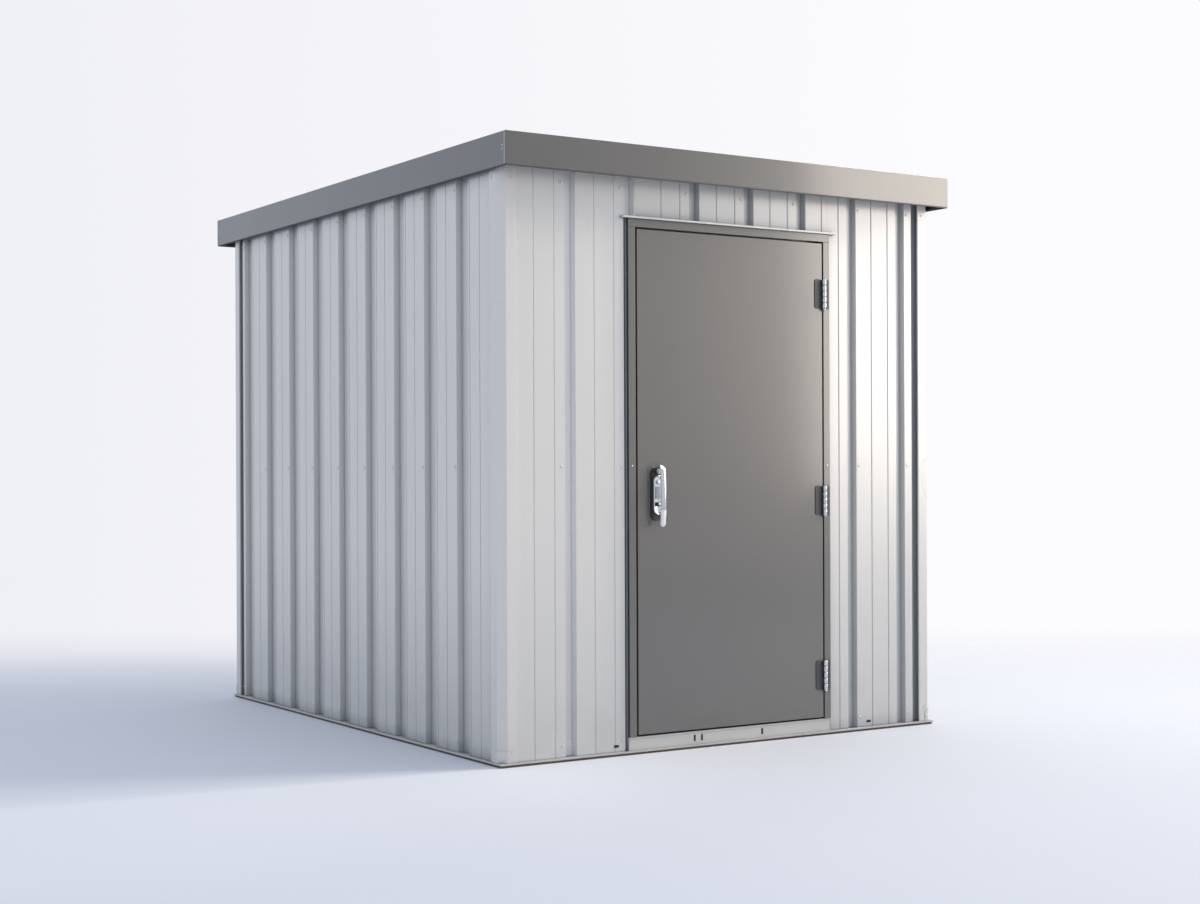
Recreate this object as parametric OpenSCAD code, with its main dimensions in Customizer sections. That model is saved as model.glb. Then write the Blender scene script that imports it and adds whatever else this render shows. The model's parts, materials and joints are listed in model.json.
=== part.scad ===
// Metal tool shed with a hinged steel door.
// Millimetres, +Z up. The front wall faces -Y and the left wall faces -X.
// The origin lies on the ground, under the middle of the fascia's outline.

/* [Overall] */
// Width across the corner posts
wall_w = 2090; // [1700:10:3200]
// Depth from the front posts' face to the rear posts' face
wall_d = 2570; // [1700:10:3600]
// Height from the ground to the top of the fascia
shed_h = 2290; // [2270:10:2800]

/* [Base and floor] */
// Thickness of the strip under the base rails
strip_h = 8; // [5:1:30]
// Width of the strip under the base rails
strip_w = 60; // [50:5:100]
// Thickness of the ledge that the walls stand on
ledge_h = 7; // [3:1:15]
// How far the ledge stands out past the corner posts
ledge_proud = 3; // [0:1:8]
// Thickness of the floor board
floor_t = 18; // [12:1:30]
// Height of the floor's top above the ground
floor_top = 64; // [50:1:120]
// Width of a floor joist
joist_w = 40; // [30:5:80]
// Number of floor joists
joist_count = 4; // [2:1:8]
// Wall thickness of the rails, girts and posts
rail_t = 3; // [2:0.5:5]

/* [Wall sheets] */
// Thickness of the profiled sheet
sheet_t = 1.2; // [1:0.1:2]
// Distance between two valleys of the sheet
sheet_pitch = 263; // [200:1:350]
// Width of a front or rear wall's valley at the sheet's face
valley_w = 48; // [30:1:70]
// Width of a side wall's valley at the sheet's face
side_valley_w = 94; // [30:1:110]
// Depth of a valley
valley_d = 22; // [10:1:35]
// Horizontal run of a valley's sloping side
valley_run = 8; // [4:1:15]
// First fine groove, from the right edge of the valley before it
groove_1 = 82; // [10:1:90]
// Second fine groove, from the right edge of the valley before it
groove_2 = 170; // [95:1:190]
// Width of a fine groove
groove_w = 6; // [4:0.5:10]
// Depth of a fine groove
groove_d = 2.4; // [1:0.1:3]
// Left edge of the first valley left of the door, from the front left corner
left_valley = 281; // [100:1:350]
// Left edge of the first valley right of the door, from the door frame's right side
right_valley = 104; // [20:1:250]
// Near edge of the first side valley, from the front corner
side_valley = 247; // [100:1:350]
// Part of a sheet's last valley that shows beside a corner post
end_valley_show = 30; // [10:1:36]
// Lap of the left front sheet over the door frame's top
left_lap = 42; // [5:1:60]
// Height of the front and rear sheets' top over the fascia's lower edge
wall_over = 26; // [10:1:30]
// Height of a mid-wall girt's centre above the ground
girt_z = 1090; // [800:10:1400]
// Height of a mid-wall girt
girt_h = 50; // [30:5:80]
// Depth of the girts and rails behind the wall sheets
rail_depth = 28; // [20:1:40]

/* [Corner posts] */
// Reach of a post's flange along each wall
post_leg = 72; // [55:1:100]
// Leg of the chamfer on a post's outer corner
post_chamfer = 28; // [10:1:34]
// Depth of the wall sheets behind the posts' face
sheet_set = 8; // [5:1:15]
// Side of the box section inside a post
post_core = 38; // [38:1:50]
// Height of a corner cap
cap_h = 45; // [30:1:80]
// Reach of a corner cap along each wall
cap_leg = 42; // [35:1:50]
// Thickness of a corner cap
cap_t = 1.5; // [1:0.1:3]

/* [Roof] */
// Height of the fascia
fascia_h = 120; // [100:5:130]
// Thickness of the fascia's sheet
fascia_t = 2; // [1:0.5:4]
// Distance that the fascia stands out from the front posts
front_overhang = 85; // [60:5:200]
// Distance that the fascia stands out from the side posts
side_overhang = 20; // [18:1:60]
// Distance that the fascia stands out from the rear posts
rear_overhang = 150; // [60:5:250]
// Width of the fascia's bottom lip
lip_w = 16; // [8:1:18]
// Width of the fascia's top return
return_w = 25; // [15:1:60]
// Length of the front and rear fascia's folds round the corners
corner_fold = 8; // [5:1:20]
// Fall of the roof towards the rear, in millimetres per metre
roof_fall = 8; // [2:1:10]
// Height of the roof sheet's ribs
roof_rib_h = 28; // [15:1:30]
// Distance between the roof sheet's ribs
roof_pitch = 200; // [150:5:300]
// Width of a rib of the roof sheet at its foot
roof_rib_w = 56; // [30:1:80]
// Horizontal run of a roof rib's sloping side
roof_rib_run = 14; // [5:1:20]
// Depth of the front rib tops below the fascia's top
rib_down = 12; // [6:1:20]
// Depth of the top rails' lower edge below the fascia
rail_down = 50; // [30:1:60]
// Height of a purlin
purlin_h = 36; // [30:1:40]
// Width of a purlin
purlin_w = 45; // [30:5:60]
// Number of purlins
purlin_count = 4; // [3:1:7]

/* [Door] */
// Outer width of the door frame
frame_w = 978; // [850:2:1200]
// Height of the door frame's top above the ground
frame_top = 2026; // [1950:1:2050]
// Width of the frame's face
frame_face = 32; // [30:1:60]
// How far the frame's face stands out from the posts' face
frame_proud = 6; // [2:1:15]
// Distance of the door's middle from the front wall's middle
door_offset = 0; // [-60:5:60]
// Thickness of the leaf
leaf_t = 44; // [35:1:50]
// Gap between the leaf and the frame
leaf_gap = 7; // [5:0.5:10]
// Clearance between the closed leaf and its stop
stop_gap = 5; // [5:0.5:8]
// Thickness of the stop
stop_t = 12; // [8:1:25]
// Reach of the stop past the frame's face
stop_reach = 22; // [14:1:30]
// Height of the sill's nosing
nose_h = 7; // [4:1:15]
// How far the nosing stands out from the posts' face
nose_proud = 2; // [1:1:5]
// Thickness of the sill plate
sill_t = 3; // [2:0.5:5]
// Height of the drip cap over the door
drip_h = 8; // [5:1:15]
// Reach of the drip cap past each side of the frame
drip_side = 28; // [10:1:50]
// How far the drip cap stands out from the posts' face
drip_proud = 16; // [10:1:30]

/* [Hinges] */
// Heights of the hinges' centres above the ground
hinge_zs = [245, 950, 1783]; // [150:1:1850]
// Length of a hinge
hinge_l = 118; // [80:2:150]
// Radius of a hinge barrel
barrel_r = 9; // [6:0.5:12]
// Radius of a hinge pin
pin_r = 3.5; // [2.5:0.5:5]
// Distance from the leaf's face to the hinge axis
hinge_out = 10; // [9:0.5:14]
// Width of the hinge plate on the leaf
leaf_plate_w = 33; // [20:1:50]
// Width of the hinge plate on the frame
frame_plate_w = 21; // [15:1:25]
// Thickness of the hinge plates
plate_t = 3; // [2:0.5:3]

/* [Handle] */
// Distance of the handle's middle from the leaf's free edge
handle_in = 85; // [60:1:150]
// Height of the handle's pivot above the ground
pivot_z = 1070; // [950:1:1200]
// Width of the handle's base plate
base_w = 52; // [40:1:70]
// Length of the handle's base plate
base_l = 202; // [150:1:240]
// Thickness of the handle's base plate
base_t = 8; // [5:1:12]
// Width of the dish behind the lever
dish_w = 44; // [25:1:50]
// Length of the dish behind the lever
dish_l = 150; // [100:1:170]
// Thickness of the dish
dish_t = 10; // [8:1:16]
// Depth of the pocket in the dish
pocket_d = 7; // [3:1:10]
// Radius of the lock cylinder
lock_r = 8; // [5:0.5:11]
// Height of the lock cylinder's centre above the dish's lower end
lock_up = 40; // [20:1:60]
// Radius of the lever's boss
boss_r = 10; // [8:0.5:16]
// Width of the lever
lever_w = 25; // [18:1:32]
// Length of the lever from its top to its free end
lever_l = 234; // [180:1:280]
// Height of the lever's top over its pivot
lever_over = 24; // [20:1:45]
// Thickness of the lever
lever_t = 9; // [7:0.5:14]
// Distance from the leaf's face to the lever's outer face
lever_out = 54; // [45:1:65]
// Radius of the lever's bow
bow_r = 900; // [600:50:2000]
// Radius of the handle's spindle
spindle_r = 6; // [4:0.5:8]

/* [Hidden] */
$fn = 48;

pin_clear = 0.05;
seat_clear = 0.3;
roof_seat = 0.1;
handle_clear = 5;
past = 1;

total_d = front_overhang + wall_d + rear_overhang;
front_y = front_overhang - total_d / 2;
rear_y = front_y + wall_d;

ledge_top = strip_h + ledge_h;
sheet_back = sheet_set + valley_d + sheet_t;
web_in = sheet_back + seat_clear;
inner_in = web_in + rail_depth;
web_top = floor_top - sill_t;
flange_top = floor_top - floor_t;
fascia_z = shed_h - fascia_h;

roof_under_front = shed_h - rib_down - roof_rib_h - sheet_t;
wall_top = fascia_z + wall_over;
rail_z = fascia_z - rail_down;
roof_len = total_d - 2 * (fascia_t + seat_clear);
roof_w = wall_w + 2 * side_overhang - 2 * fascia_t;
roof_angle = atan(roof_fall / 1000);
function roof_under(y) = roof_under_front - (y + roof_len / 2) * roof_fall / 1000;
function purlin_under(y) = roof_under(y) - roof_seat - purlin_h;
side_top = purlin_under(rear_y) - seat_clear;

door_x = door_offset;
frame_left = door_x - frame_w / 2;
frame_right = door_x + frame_w / 2;
sill_top = floor_top + sill_t;
head_z = frame_top - frame_face;
leaf_w = frame_w - 2 * frame_face - 2 * leaf_gap;
leaf_z = sill_top + leaf_gap;
leaf_h = head_z - leaf_gap - leaf_z;
leaf_left = door_x - leaf_w / 2;
leaf_right = door_x + leaf_w / 2;
face_y = front_y - frame_proud;
header_z = frame_top + drip_h;

hinge_x = leaf_right + leaf_gap / 2;
hinge_y = face_y - hinge_out;
plate_gap = barrel_r + 0.5;
knuckles = 5;
knuckle_l = hinge_l / knuckles;
knuckle_gap = 0.5;

handle_x = leaf_left + handle_in;
plate_z = pivot_z + boss_r + handle_clear - base_l / 2;
dish_z = pivot_z - boss_r - handle_clear - dish_l / 2;
lock_z = dish_z - dish_l / 2 + lock_up;
lever_top = pivot_z + lever_over;

wall_grey = "#b5b9bc";
trim_grey = "#c4c7c8";
steel_grey = "#9a9ea3";
door_grey = "#6f6e6d";
fascia_grey = "#7b7c7e";
strip_brown = "#4a3a28";
board_tan = "#a58a63";
chrome_grey = "#d5d8dc";
lock_black = "#26262a";

// ---- Placing pieces on the walls ----
// Wall frames: X runs along the wall, Y goes inwards from the posts' face, Z is up.
module on_front() translate([-wall_w / 2, front_y, 0]) children();
module on_rear() translate([wall_w / 2, rear_y, 0]) rotate([0, 0, 180]) children();
module on_right() translate([wall_w / 2, front_y, 0]) rotate([0, 0, 90]) children();
module on_left() mirror([1, 0, 0]) on_right() children();

// A section drawn as [depth, height], run from u0 to u1 along the wall
module run_along(u0, u1, section) {
    translate([u0, 0, 0])
        rotate([90, 0, 90])
            linear_extrude(u1 - u0)
                polygon(section);
}

module box(lo, hi) {
    translate(lo)
        cube(hi - lo);
}

module round_slot(w, l) {
    square([w, l - w], center = true);
    for (side = [-1, 1])
        translate([0, side * (l - w) / 2])
            circle(d = w);
}

// ---- Profiled sheet ----
function valley(u, w) = [
    [u, 0], [u + valley_run, valley_d], [u + w - valley_run, valley_d], [u + w, 0]
];
function groove(u) = [[u - groove_w / 2, 0], [u, groove_d], [u + groove_w / 2, 0]];
function kept(points, lo, hi) =
    points[0][0] > lo && points[len(points) - 1][0] < hi ? points : [];

// The sheet's outer face from u0 to u1, with valleys w wide and its folds kept between lo and hi.
// The second groove stays groove_edge short of the next valley.
// A sheet with a half-hidden last valley has hi at that valley's left edge.
function sheet_face(u0, u1, lo, hi, first, w, last_valley) = concat(
    [[u0, 0]],
    [for (k = [floor((lo - first) / sheet_pitch) - 1 : ceil((hi - first) / sheet_pitch)])
        let (v = first + k * sheet_pitch)
        each concat(
            kept(valley(v, w), lo, hi - (last_valley ? fold_margin : 0)),
            kept(groove(v + w + groove_1), lo, hi - (last_valley ? fold_margin : 0)),
            kept(groove(v + w + min(groove_2, sheet_pitch - w - groove_edge)), lo,
                hi - (last_valley ? fold_margin : 0)))],
    last_valley ? valley(hi, u1 - hi - fold_margin) : [],
    [[u1, 0]]);

function normal(a, b) = let (d = (b - a) / norm(b - a)) [-d[1], d[0]];
function bend(a, b, c, t) = let (m = normal(a, b), n = normal(b, c)) t * (m + n) / (1 + m * n);
function inner_face(p, t) = [
    for (i = [len(p) - 1 : -1 : 0])
        p[i] + (i == 0 ? t * normal(p[0], p[1])
            : i == len(p) - 1 ? t * normal(p[i - 1], p[i])
            : bend(p[i - 1], p[i], p[i + 1], t))
];

module sheet(u0, u1, z0, z1, first, lo, hi, w = valley_w, last_valley = false) {
    face = sheet_face(u0, u1, lo, hi, first, w, last_valley);
    translate([0, sheet_set, z0])
        linear_extrude(z1 - z0)
            polygon(concat(face, inner_face(face, sheet_t)));
}

fold_margin = 6;
groove_edge = 11;
sheet_end = post_core + 2;
left_seam = frame_left + wall_w / 2 + left_lap;
right_seam = frame_right + wall_w / 2;

module front_wall_left() {
    color(wall_grey)
        on_front()
            difference() {
                sheet(sheet_end, left_seam, ledge_top, wall_top, left_valley,
                    post_leg + fold_margin, left_seam);
                box([frame_left + wall_w / 2, -past, ledge_top - past],
                    [left_seam + past, inner_in, header_z]);
            }
}

module front_wall_right() {
    color(wall_grey)
        on_front()
            sheet(right_seam, wall_w - sheet_end, ledge_top, wall_top, right_seam + right_valley,
                right_seam + fold_margin, wall_w - post_leg - end_valley_show, last_valley = true);
}

module front_wall_header() {
    color(wall_grey)
        on_front()
            sheet(left_seam, right_seam, header_z, wall_top, right_seam + right_valley,
                left_seam + fold_margin, right_seam - fold_margin);
}

module side_sheet() {
    sheet(sheet_end, wall_d - sheet_end, ledge_top, side_top, side_valley,
        post_leg + fold_margin, wall_d - post_leg - end_valley_show, side_valley_w, last_valley = true);
}

module left_wall() {
    color(wall_grey)
        on_left()
            side_sheet();
}

module right_wall() {
    color(wall_grey)
        on_right()
            side_sheet();
}

rear_span = wall_w - 2 * (post_leg + fold_margin);
rear_folds = floor((rear_span - valley_w) / sheet_pitch);
rear_valley = (wall_w - rear_folds * sheet_pitch - valley_w) / 2;

module rear_wall() {
    color(wall_grey)
        on_rear()
            sheet(sheet_end, wall_w - sheet_end, ledge_top, wall_top, rear_valley,
                post_leg + fold_margin, wall_w - post_leg - fold_margin);
}

// ---- Base and floor ----
joist_ys = [for (i = [1 : joist_count]) front_y + wall_d * i / (joist_count + 1)];

strip_gap = 1;
strip_set = 1;
strip_x = wall_w / 2 - strip_set;
strip_y0 = front_y + strip_set;
strip_y1 = rear_y - strip_set;

// Boards under the rails, and one under each joist, with a small gap at their ends
module base_strips() {
    color(strip_brown) {
        box([-strip_x, strip_y0, 0], [strip_x, strip_y0 + strip_w, strip_h]);
        box([-strip_x, strip_y1 - strip_w, 0], [strip_x, strip_y1, strip_h]);
        for (side = [0, 1])
            mirror([side, 0, 0])
                box([-strip_x, strip_y0 + strip_w + strip_gap, 0],
                    [-strip_x + strip_w, strip_y1 - strip_w - strip_gap, strip_h]);
        for (y = joist_ys)
            box([-strip_x + strip_w + strip_gap, y - joist_w / 2, 0],
                [strip_x - strip_w - strip_gap, y + joist_w / 2, strip_h]);
    }
}

rail_section = [
    [-ledge_proud, strip_h], [inner_in - rail_depth + rail_t, strip_h],
    [web_in + rail_t, flange_top - rail_t], [inner_in, flange_top - rail_t],
    [inner_in, flange_top], [web_in + rail_t, flange_top], [web_in + rail_t, web_top],
    [web_in, web_top], [web_in, ledge_top], [-ledge_proud, ledge_top]
];
ledge_section = [
    [-ledge_proud, strip_h], [web_in + rail_t, strip_h],
    [web_in + rail_t, ledge_top], [-ledge_proud, ledge_top]
];

// The ledge runs the full length, and the web and flange stop at the posts
module base_rail(length, ledge_from) {
    run_along(ledge_from, length - ledge_from, ledge_section);
    run_along(inner_in, length - inner_in, rail_section);
}

module front_base_rail() {
    color(trim_grey)
        on_front()
            base_rail(wall_w, -ledge_proud);
}

module rear_base_rail() {
    color(trim_grey)
        on_rear()
            base_rail(wall_w, -ledge_proud);
}

module left_base_rail() {
    color(trim_grey)
        on_left()
            base_rail(wall_d, web_in + rail_t);
}

module right_base_rail() {
    color(trim_grey)
        on_right()
            base_rail(wall_d, web_in + rail_t);
}

module floor_joists() {
    color(steel_grey)
        for (y = joist_ys)
            box([-wall_w / 2 + inner_in, y - joist_w / 2, strip_h],
                [wall_w / 2 - inner_in, y + joist_w / 2, flange_top]);
}

floor_in = web_in + rail_t;

// The board fits between the rails' webs, notched round the corner posts
module floor_board() {
    color(board_tan)
        difference() {
            box([-wall_w / 2 + floor_in, front_y + floor_in, flange_top],
                [wall_w / 2 - floor_in, rear_y - floor_in, floor_top]);
            for (right = [false, true], rear = [false, true])
                at_corner(right, rear)
                    box([0, 0, flange_top - past],
                        [post_core + past, post_core + past, floor_top + past]);
        }
}

sill_section = [
    [-nose_proud, sill_top - nose_h], [0, sill_top - nose_h], [0, ledge_top], [sill_t, ledge_top],
    [sill_t, floor_top], [inner_in, floor_top], [inner_in, sill_top], [-nose_proud, sill_top]
];

module door_sill() {
    color(trim_grey)
        translate([0, front_y, 0])
            run_along(frame_left, frame_right, sill_section);
}

// ---- Corner posts ----
chamfer_in = rail_t * (sqrt(2) - 1);
// Section of the post at the corner [0, 0], its walls along +X and +Y
post_outer = [
    [post_chamfer, 0], [post_leg, 0], [post_leg, sheet_set], [post_leg - rail_t, sheet_set],
    [post_leg - rail_t, rail_t], [post_core, rail_t], [post_core, post_core],
    [rail_t, post_core], [rail_t, post_leg - rail_t], [sheet_set, post_leg - rail_t],
    [sheet_set, post_leg], [0, post_leg], [0, post_chamfer]
];
post_hollow = [
    [post_chamfer + chamfer_in, rail_t], [post_core - rail_t, rail_t],
    [post_core - rail_t, post_core - rail_t], [rail_t, post_core - rail_t],
    [rail_t, post_chamfer + chamfer_in]
];

module post(top) {
    translate([0, 0, ledge_top])
        linear_extrude(top - ledge_top)
            difference() {
                polygon(post_outer);
                polygon(post_hollow);
            }
}

module at_corner(right, rear) {
    mirror([right ? 1 : 0, 0, 0])
        mirror([0, rear ? 1 : 0, 0])
            translate([-wall_w / 2, rear ? -rear_y : front_y, 0])
                children();
}

module front_left_post() {
    color(trim_grey)
        at_corner(false, false)
            post(side_top);
}

module front_right_post() {
    color(trim_grey)
        at_corner(true, false)
            post(side_top);
}

module rear_left_post() {
    color(trim_grey)
        at_corner(false, true)
            post(side_top);
}

module rear_right_post() {
    color(trim_grey)
        at_corner(true, true)
            post(side_top);
}

cap_bend = cap_t * (sqrt(2) - 1);
cap_section = [
    [post_chamfer, 0], [cap_leg, 0], [cap_leg, -cap_t], [post_chamfer - cap_bend, -cap_t],
    [-cap_t, post_chamfer - cap_bend], [-cap_t, cap_leg], [0, cap_leg], [0, post_chamfer]
];

module corner_caps() {
    color(trim_grey)
        for (right = [false, true], rear = [false, true])
            at_corner(right, rear)
                translate([0, 0, ledge_top])
                    linear_extrude(cap_h)
                        polygon(cap_section);
}

// ---- Girts and top rails ----
girt_section = [
    [sheet_back, girt_z - girt_h / 2], [inner_in, girt_z - girt_h / 2],
    [inner_in, girt_z - girt_h / 2 + rail_t], [sheet_back + rail_t, girt_z - girt_h / 2 + rail_t],
    [sheet_back + rail_t, girt_z + girt_h / 2 - rail_t], [inner_in, girt_z + girt_h / 2 - rail_t],
    [inner_in, girt_z + girt_h / 2], [sheet_back, girt_z + girt_h / 2]
];

module front_left_girt() {
    color(steel_grey)
        on_front()
            run_along(post_core, frame_left + wall_w / 2, girt_section);
}

module front_right_girt() {
    color(steel_grey)
        on_front()
            run_along(frame_right + wall_w / 2, wall_w - post_core, girt_section);
}

module left_girt() {
    color(steel_grey)
        on_left()
            run_along(inner_in, wall_d - inner_in, girt_section);
}

module right_girt() {
    color(steel_grey)
        on_right()
            run_along(inner_in, wall_d - inner_in, girt_section);
}

module rear_girt() {
    color(steel_grey)
        on_rear()
            run_along(post_core, wall_w - post_core, girt_section);
}

function level_rail(top) = [
    [sheet_back, rail_z], [inner_in, rail_z], [inner_in, rail_z + rail_t],
    [sheet_back + rail_t, rail_z + rail_t], [sheet_back + rail_t, top - rail_t],
    [inner_in, top - rail_t], [inner_in, top], [sheet_back, top]
];

module front_top_rail() {
    color(steel_grey)
        on_front()
            run_along(post_core, wall_w - post_core, level_rail(wall_top));
}

module rear_top_rail() {
    color(steel_grey)
        on_rear()
            run_along(post_core, wall_w - post_core, level_rail(side_top));
}

// The side rails' tops follow the roof's fall and carry the purlins
module side_rail() {
    y0 = front_y + inner_in;
    y1 = rear_y - inner_in;
    translate([sheet_back - wall_w / 2, 0, 0])
        rotate([90, 0, 90])
            linear_extrude(rail_depth + seat_clear)
                polygon([
                    [y0, rail_z], [y1, rail_z],
                    [y1, purlin_under(y1) - roof_seat], [y0, purlin_under(y0) - roof_seat]
                ]);
}

module left_top_rail() {
    color(steel_grey)
        side_rail();
}

module right_top_rail() {
    color(steel_grey)
        mirror([1, 0, 0])
            side_rail();
}

// ---- Roof ----
first_purlin = front_y + inner_in;
purlin_step = (wall_d - 2 * inner_in - purlin_w) / (purlin_count - 1);

module roof_purlins() {
    color(steel_grey)
        for (i = [0 : purlin_count - 1])
            let (y0 = first_purlin + i * purlin_step, y1 = y0 + purlin_w)
                translate([-roof_w / 2, 0, 0])
                    rotate([90, 0, 90])
                        linear_extrude(roof_w)
                            polygon([
                                [y0, purlin_under(y0)], [y1, purlin_under(y1)],
                                [y1, roof_under(y1) - roof_seat], [y0, roof_under(y0) - roof_seat]
                            ]);
}

roof_ribs = floor((roof_w - roof_rib_w - 2 * fold_margin) / roof_pitch);
roof_first = (roof_w - roof_ribs * roof_pitch - roof_rib_w) / 2;
roof_path = concat(
    [[0, 0]],
    [for (i = [0 : roof_ribs])
        let (u = roof_first + i * roof_pitch)
        each [[u, 0], [u + roof_rib_run, roof_rib_h],
            [u + roof_rib_w - roof_rib_run, roof_rib_h], [u + roof_rib_w, 0]]],
    [[roof_w, 0]]);

module roof_sheet() {
    color(fascia_grey)
        translate([-roof_w / 2, roof_len / 2, roof_under(roof_len / 2)])
            rotate([90 - roof_angle, 0, 0])
                linear_extrude(roof_len / cos(roof_angle))
                    polygon(concat(roof_path, inner_face(roof_path, sheet_t)));
}

// Outline of the roof, from the front left corner
roof_x0 = -wall_w / 2 - side_overhang;
roof_x1 = -roof_x0;
roof_y0 = -total_d / 2;
roof_y1 = -roof_y0;

fascia_section = [
    [0, fascia_z], [lip_w, fascia_z], [lip_w, fascia_z + fascia_t],
    [fascia_t, fascia_z + fascia_t], [fascia_t, shed_h - fascia_t],
    [return_w, shed_h - fascia_t], [return_w, shed_h], [0, shed_h]
];

module end_fascia() {
    translate([0, roof_y0, 0]) {
        run_along(roof_x0, roof_x1, fascia_section);
        for (side = [0, 1])
            mirror([side, 0, 0])
                box([roof_x0, 0, fascia_z], [roof_x0 + fascia_t, corner_fold, shed_h]);
    }
}

module front_fascia() {
    color(fascia_grey)
        end_fascia();
}

module rear_fascia() {
    color(fascia_grey)
        mirror([0, 1, 0])
            end_fascia();
}

module side_fascia() {
    translate([roof_x0, 0, 0])
        mirror([1, 0, 0])
            rotate([0, 0, 90])
                run_along(roof_y0 + return_w, roof_y1 - return_w, fascia_section);
    for (end = [0, 1])
        mirror([0, end, 0])
            box([roof_x0, roof_y0 + corner_fold, fascia_z + fascia_t],
                [roof_x0 + fascia_t, roof_y0 + return_w, shed_h - fascia_t]);
}

module left_fascia() {
    color(fascia_grey)
        side_fascia();
}

module right_fascia() {
    color(fascia_grey)
        mirror([1, 0, 0])
            side_fascia();
}

// ---- Door frame ----
stop_in = leaf_t + stop_gap;
frame_depth = stop_in + stop_t;

// A jamb's plan, with its outer side at X = 0 and its face at Y = 0
jamb_plan = [
    [0, 0], [frame_face, 0], [frame_face, stop_in], [frame_face + stop_reach, stop_in],
    [frame_face + stop_reach, frame_depth], [0, frame_depth]
];

module jamb() {
    translate([frame_left, face_y, sill_top])
        linear_extrude(head_z - sill_top)
            polygon(jamb_plan);
}

module left_jamb() {
    color(door_grey)
        jamb();
}

module right_jamb() {
    color(door_grey)
        translate([2 * door_x, 0, 0])
            mirror([1, 0, 0])
                jamb();
}

head_section = [
    [0, frame_top], [0, head_z], [frame_depth, head_z], [frame_depth, frame_top]
];

module door_head() {
    color(door_grey)
        translate([0, face_y, 0]) {
            run_along(frame_left, frame_right, head_section);
            box([frame_left + frame_face + stop_reach, stop_in, head_z - stop_reach],
                [frame_right - frame_face - stop_reach, frame_depth, head_z]);
        }
}

module drip_cap() {
    color(trim_grey)
        translate([0, front_y, frame_top]) {
            box([frame_left - drip_side, -drip_proud, 0],
                [frame_right + drip_side, sheet_set, drip_h]);
            box([frame_left, 0, 0], [frame_right, sheet_back, drip_h]);
        }
}

// ---- Hinges ----
module knuckle(i, z) {
    translate([hinge_x, hinge_y, z - hinge_l / 2 + i * knuckle_l + knuckle_gap / 2])
        cylinder(r = barrel_r, h = knuckle_l - knuckle_gap);
}

// The block that joins a knuckle to its plate, on the side named by dir
module knuckle_neck(i, z, dir) {
    z0 = z - hinge_l / 2 + i * knuckle_l + knuckle_gap / 2;
    z1 = z0 + knuckle_l - knuckle_gap;
    x0 = dir < 0 ? hinge_x - plate_gap - past : hinge_x + barrel_r / 2;
    x1 = dir < 0 ? hinge_x - barrel_r / 2 : hinge_x + plate_gap + past;
    box([x0, hinge_y, z0], [x1, face_y, z1]);
}

module hinge_frame_leaves() {
    color(chrome_grey)
        for (z = hinge_zs) {
            for (i = [0, 2, 4]) {
                knuckle(i, z);
                knuckle_neck(i, z, 1);
            }
            translate([hinge_x, hinge_y, z - hinge_l / 2])
                cylinder(r = pin_r, h = hinge_l);
            translate([hinge_x, hinge_y, z - hinge_l / 2])
                sphere(r = barrel_r * 0.6);
            box([hinge_x + plate_gap, face_y - plate_t, z - hinge_l / 2],
                [hinge_x + plate_gap + frame_plate_w, face_y, z + hinge_l / 2]);
        }
}

module hinge_door_leaves() {
    color(door_grey)
        for (z = hinge_zs) {
            difference() {
                union()
                    for (i = [1, 3]) {
                        knuckle(i, z);
                        knuckle_neck(i, z, -1);
                    }
                translate([hinge_x, hinge_y, z - hinge_l / 2])
                    cylinder(r = pin_r + pin_clear, h = hinge_l);
            }
            box([hinge_x - plate_gap - leaf_plate_w, face_y - plate_t, z - hinge_l / 2],
                [hinge_x - plate_gap, face_y, z + hinge_l / 2]);
        }
}

// ---- Door leaf and handle ----
module along_y(x, y, z, length) {
    translate([x, y, z])
        rotate([90, 0, 0])
            linear_extrude(length)
                children();
}

module spindle_bore() {
    along_y(handle_x, face_y + leaf_t + past, pivot_z, leaf_t + base_t + 2 * past)
        circle(r = spindle_r + pin_clear);
}

module door_leaf() {
    color(door_grey)
        difference() {
            box([leaf_left, face_y, leaf_z], [leaf_right, face_y + leaf_t, leaf_z + leaf_h]);
            spindle_bore();
        }
}

module handle_plate() {
    color(lock_black)
        difference() {
            along_y(handle_x, face_y, plate_z, base_t)
                round_slot(base_w, base_l);
            spindle_bore();
        }
}

module handle_dish() {
    color(chrome_grey)
        difference() {
            along_y(handle_x, face_y - base_t, dish_z, dish_t)
                round_slot(dish_w, dish_l);
            along_y(handle_x, face_y - base_t - dish_t + pocket_d, dish_z, pocket_d + past)
                round_slot(dish_w - 10, dish_l - 10);
        }
}

module lock_cylinder() {
    color(lock_black)
        along_y(handle_x, face_y - base_t - dish_t + pocket_d, lock_z, pocket_d + 3)
            circle(r = lock_r);
}

// Side view of the lever as [distance out from the leaf's face, height over the pivot]
bow_steps = 16;
bow_mid = lever_over - lever_l / 2;
bow_half = asin((lever_l / 2) / bow_r);
function bow_point(r, a) = [lever_out - bow_r + r * cos(a), bow_mid + r * sin(a)];
function bow_arc(r, from, to) = [
    for (i = [0 : bow_steps]) bow_point(r, from + (to - from) * i / bow_steps)
];
lever_bar = concat(bow_arc(bow_r, -bow_half, bow_half), bow_arc(bow_r - lever_t, bow_half, -bow_half));

// The neck rises from the boss to the middle of the lever's top
boss_out = base_t + seat_clear;
boss_l = 12;
neck_w = lever_w * 0.8;
neck_out = lever_out - lever_t / 2;
neck_root = boss_out + boss_l - 3;
neck_top = lever_over - lever_t / 2;
neck = [
    [boss_out, -boss_r / 2], [neck_root, -boss_r / 2], [neck_out - lever_t, neck_top / 4],
    [neck_out, neck_top / 2], [neck_out, neck_top], [neck_out - lever_t, neck_top],
    [boss_out, boss_r / 2]
];

module side_view(width, points) {
    translate([handle_x - width / 2, face_y, pivot_z])
        rotate([90, 0, 90])
            linear_extrude(width)
                polygon([for (p = points) [-p[0], p[1]]]);
}

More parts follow.
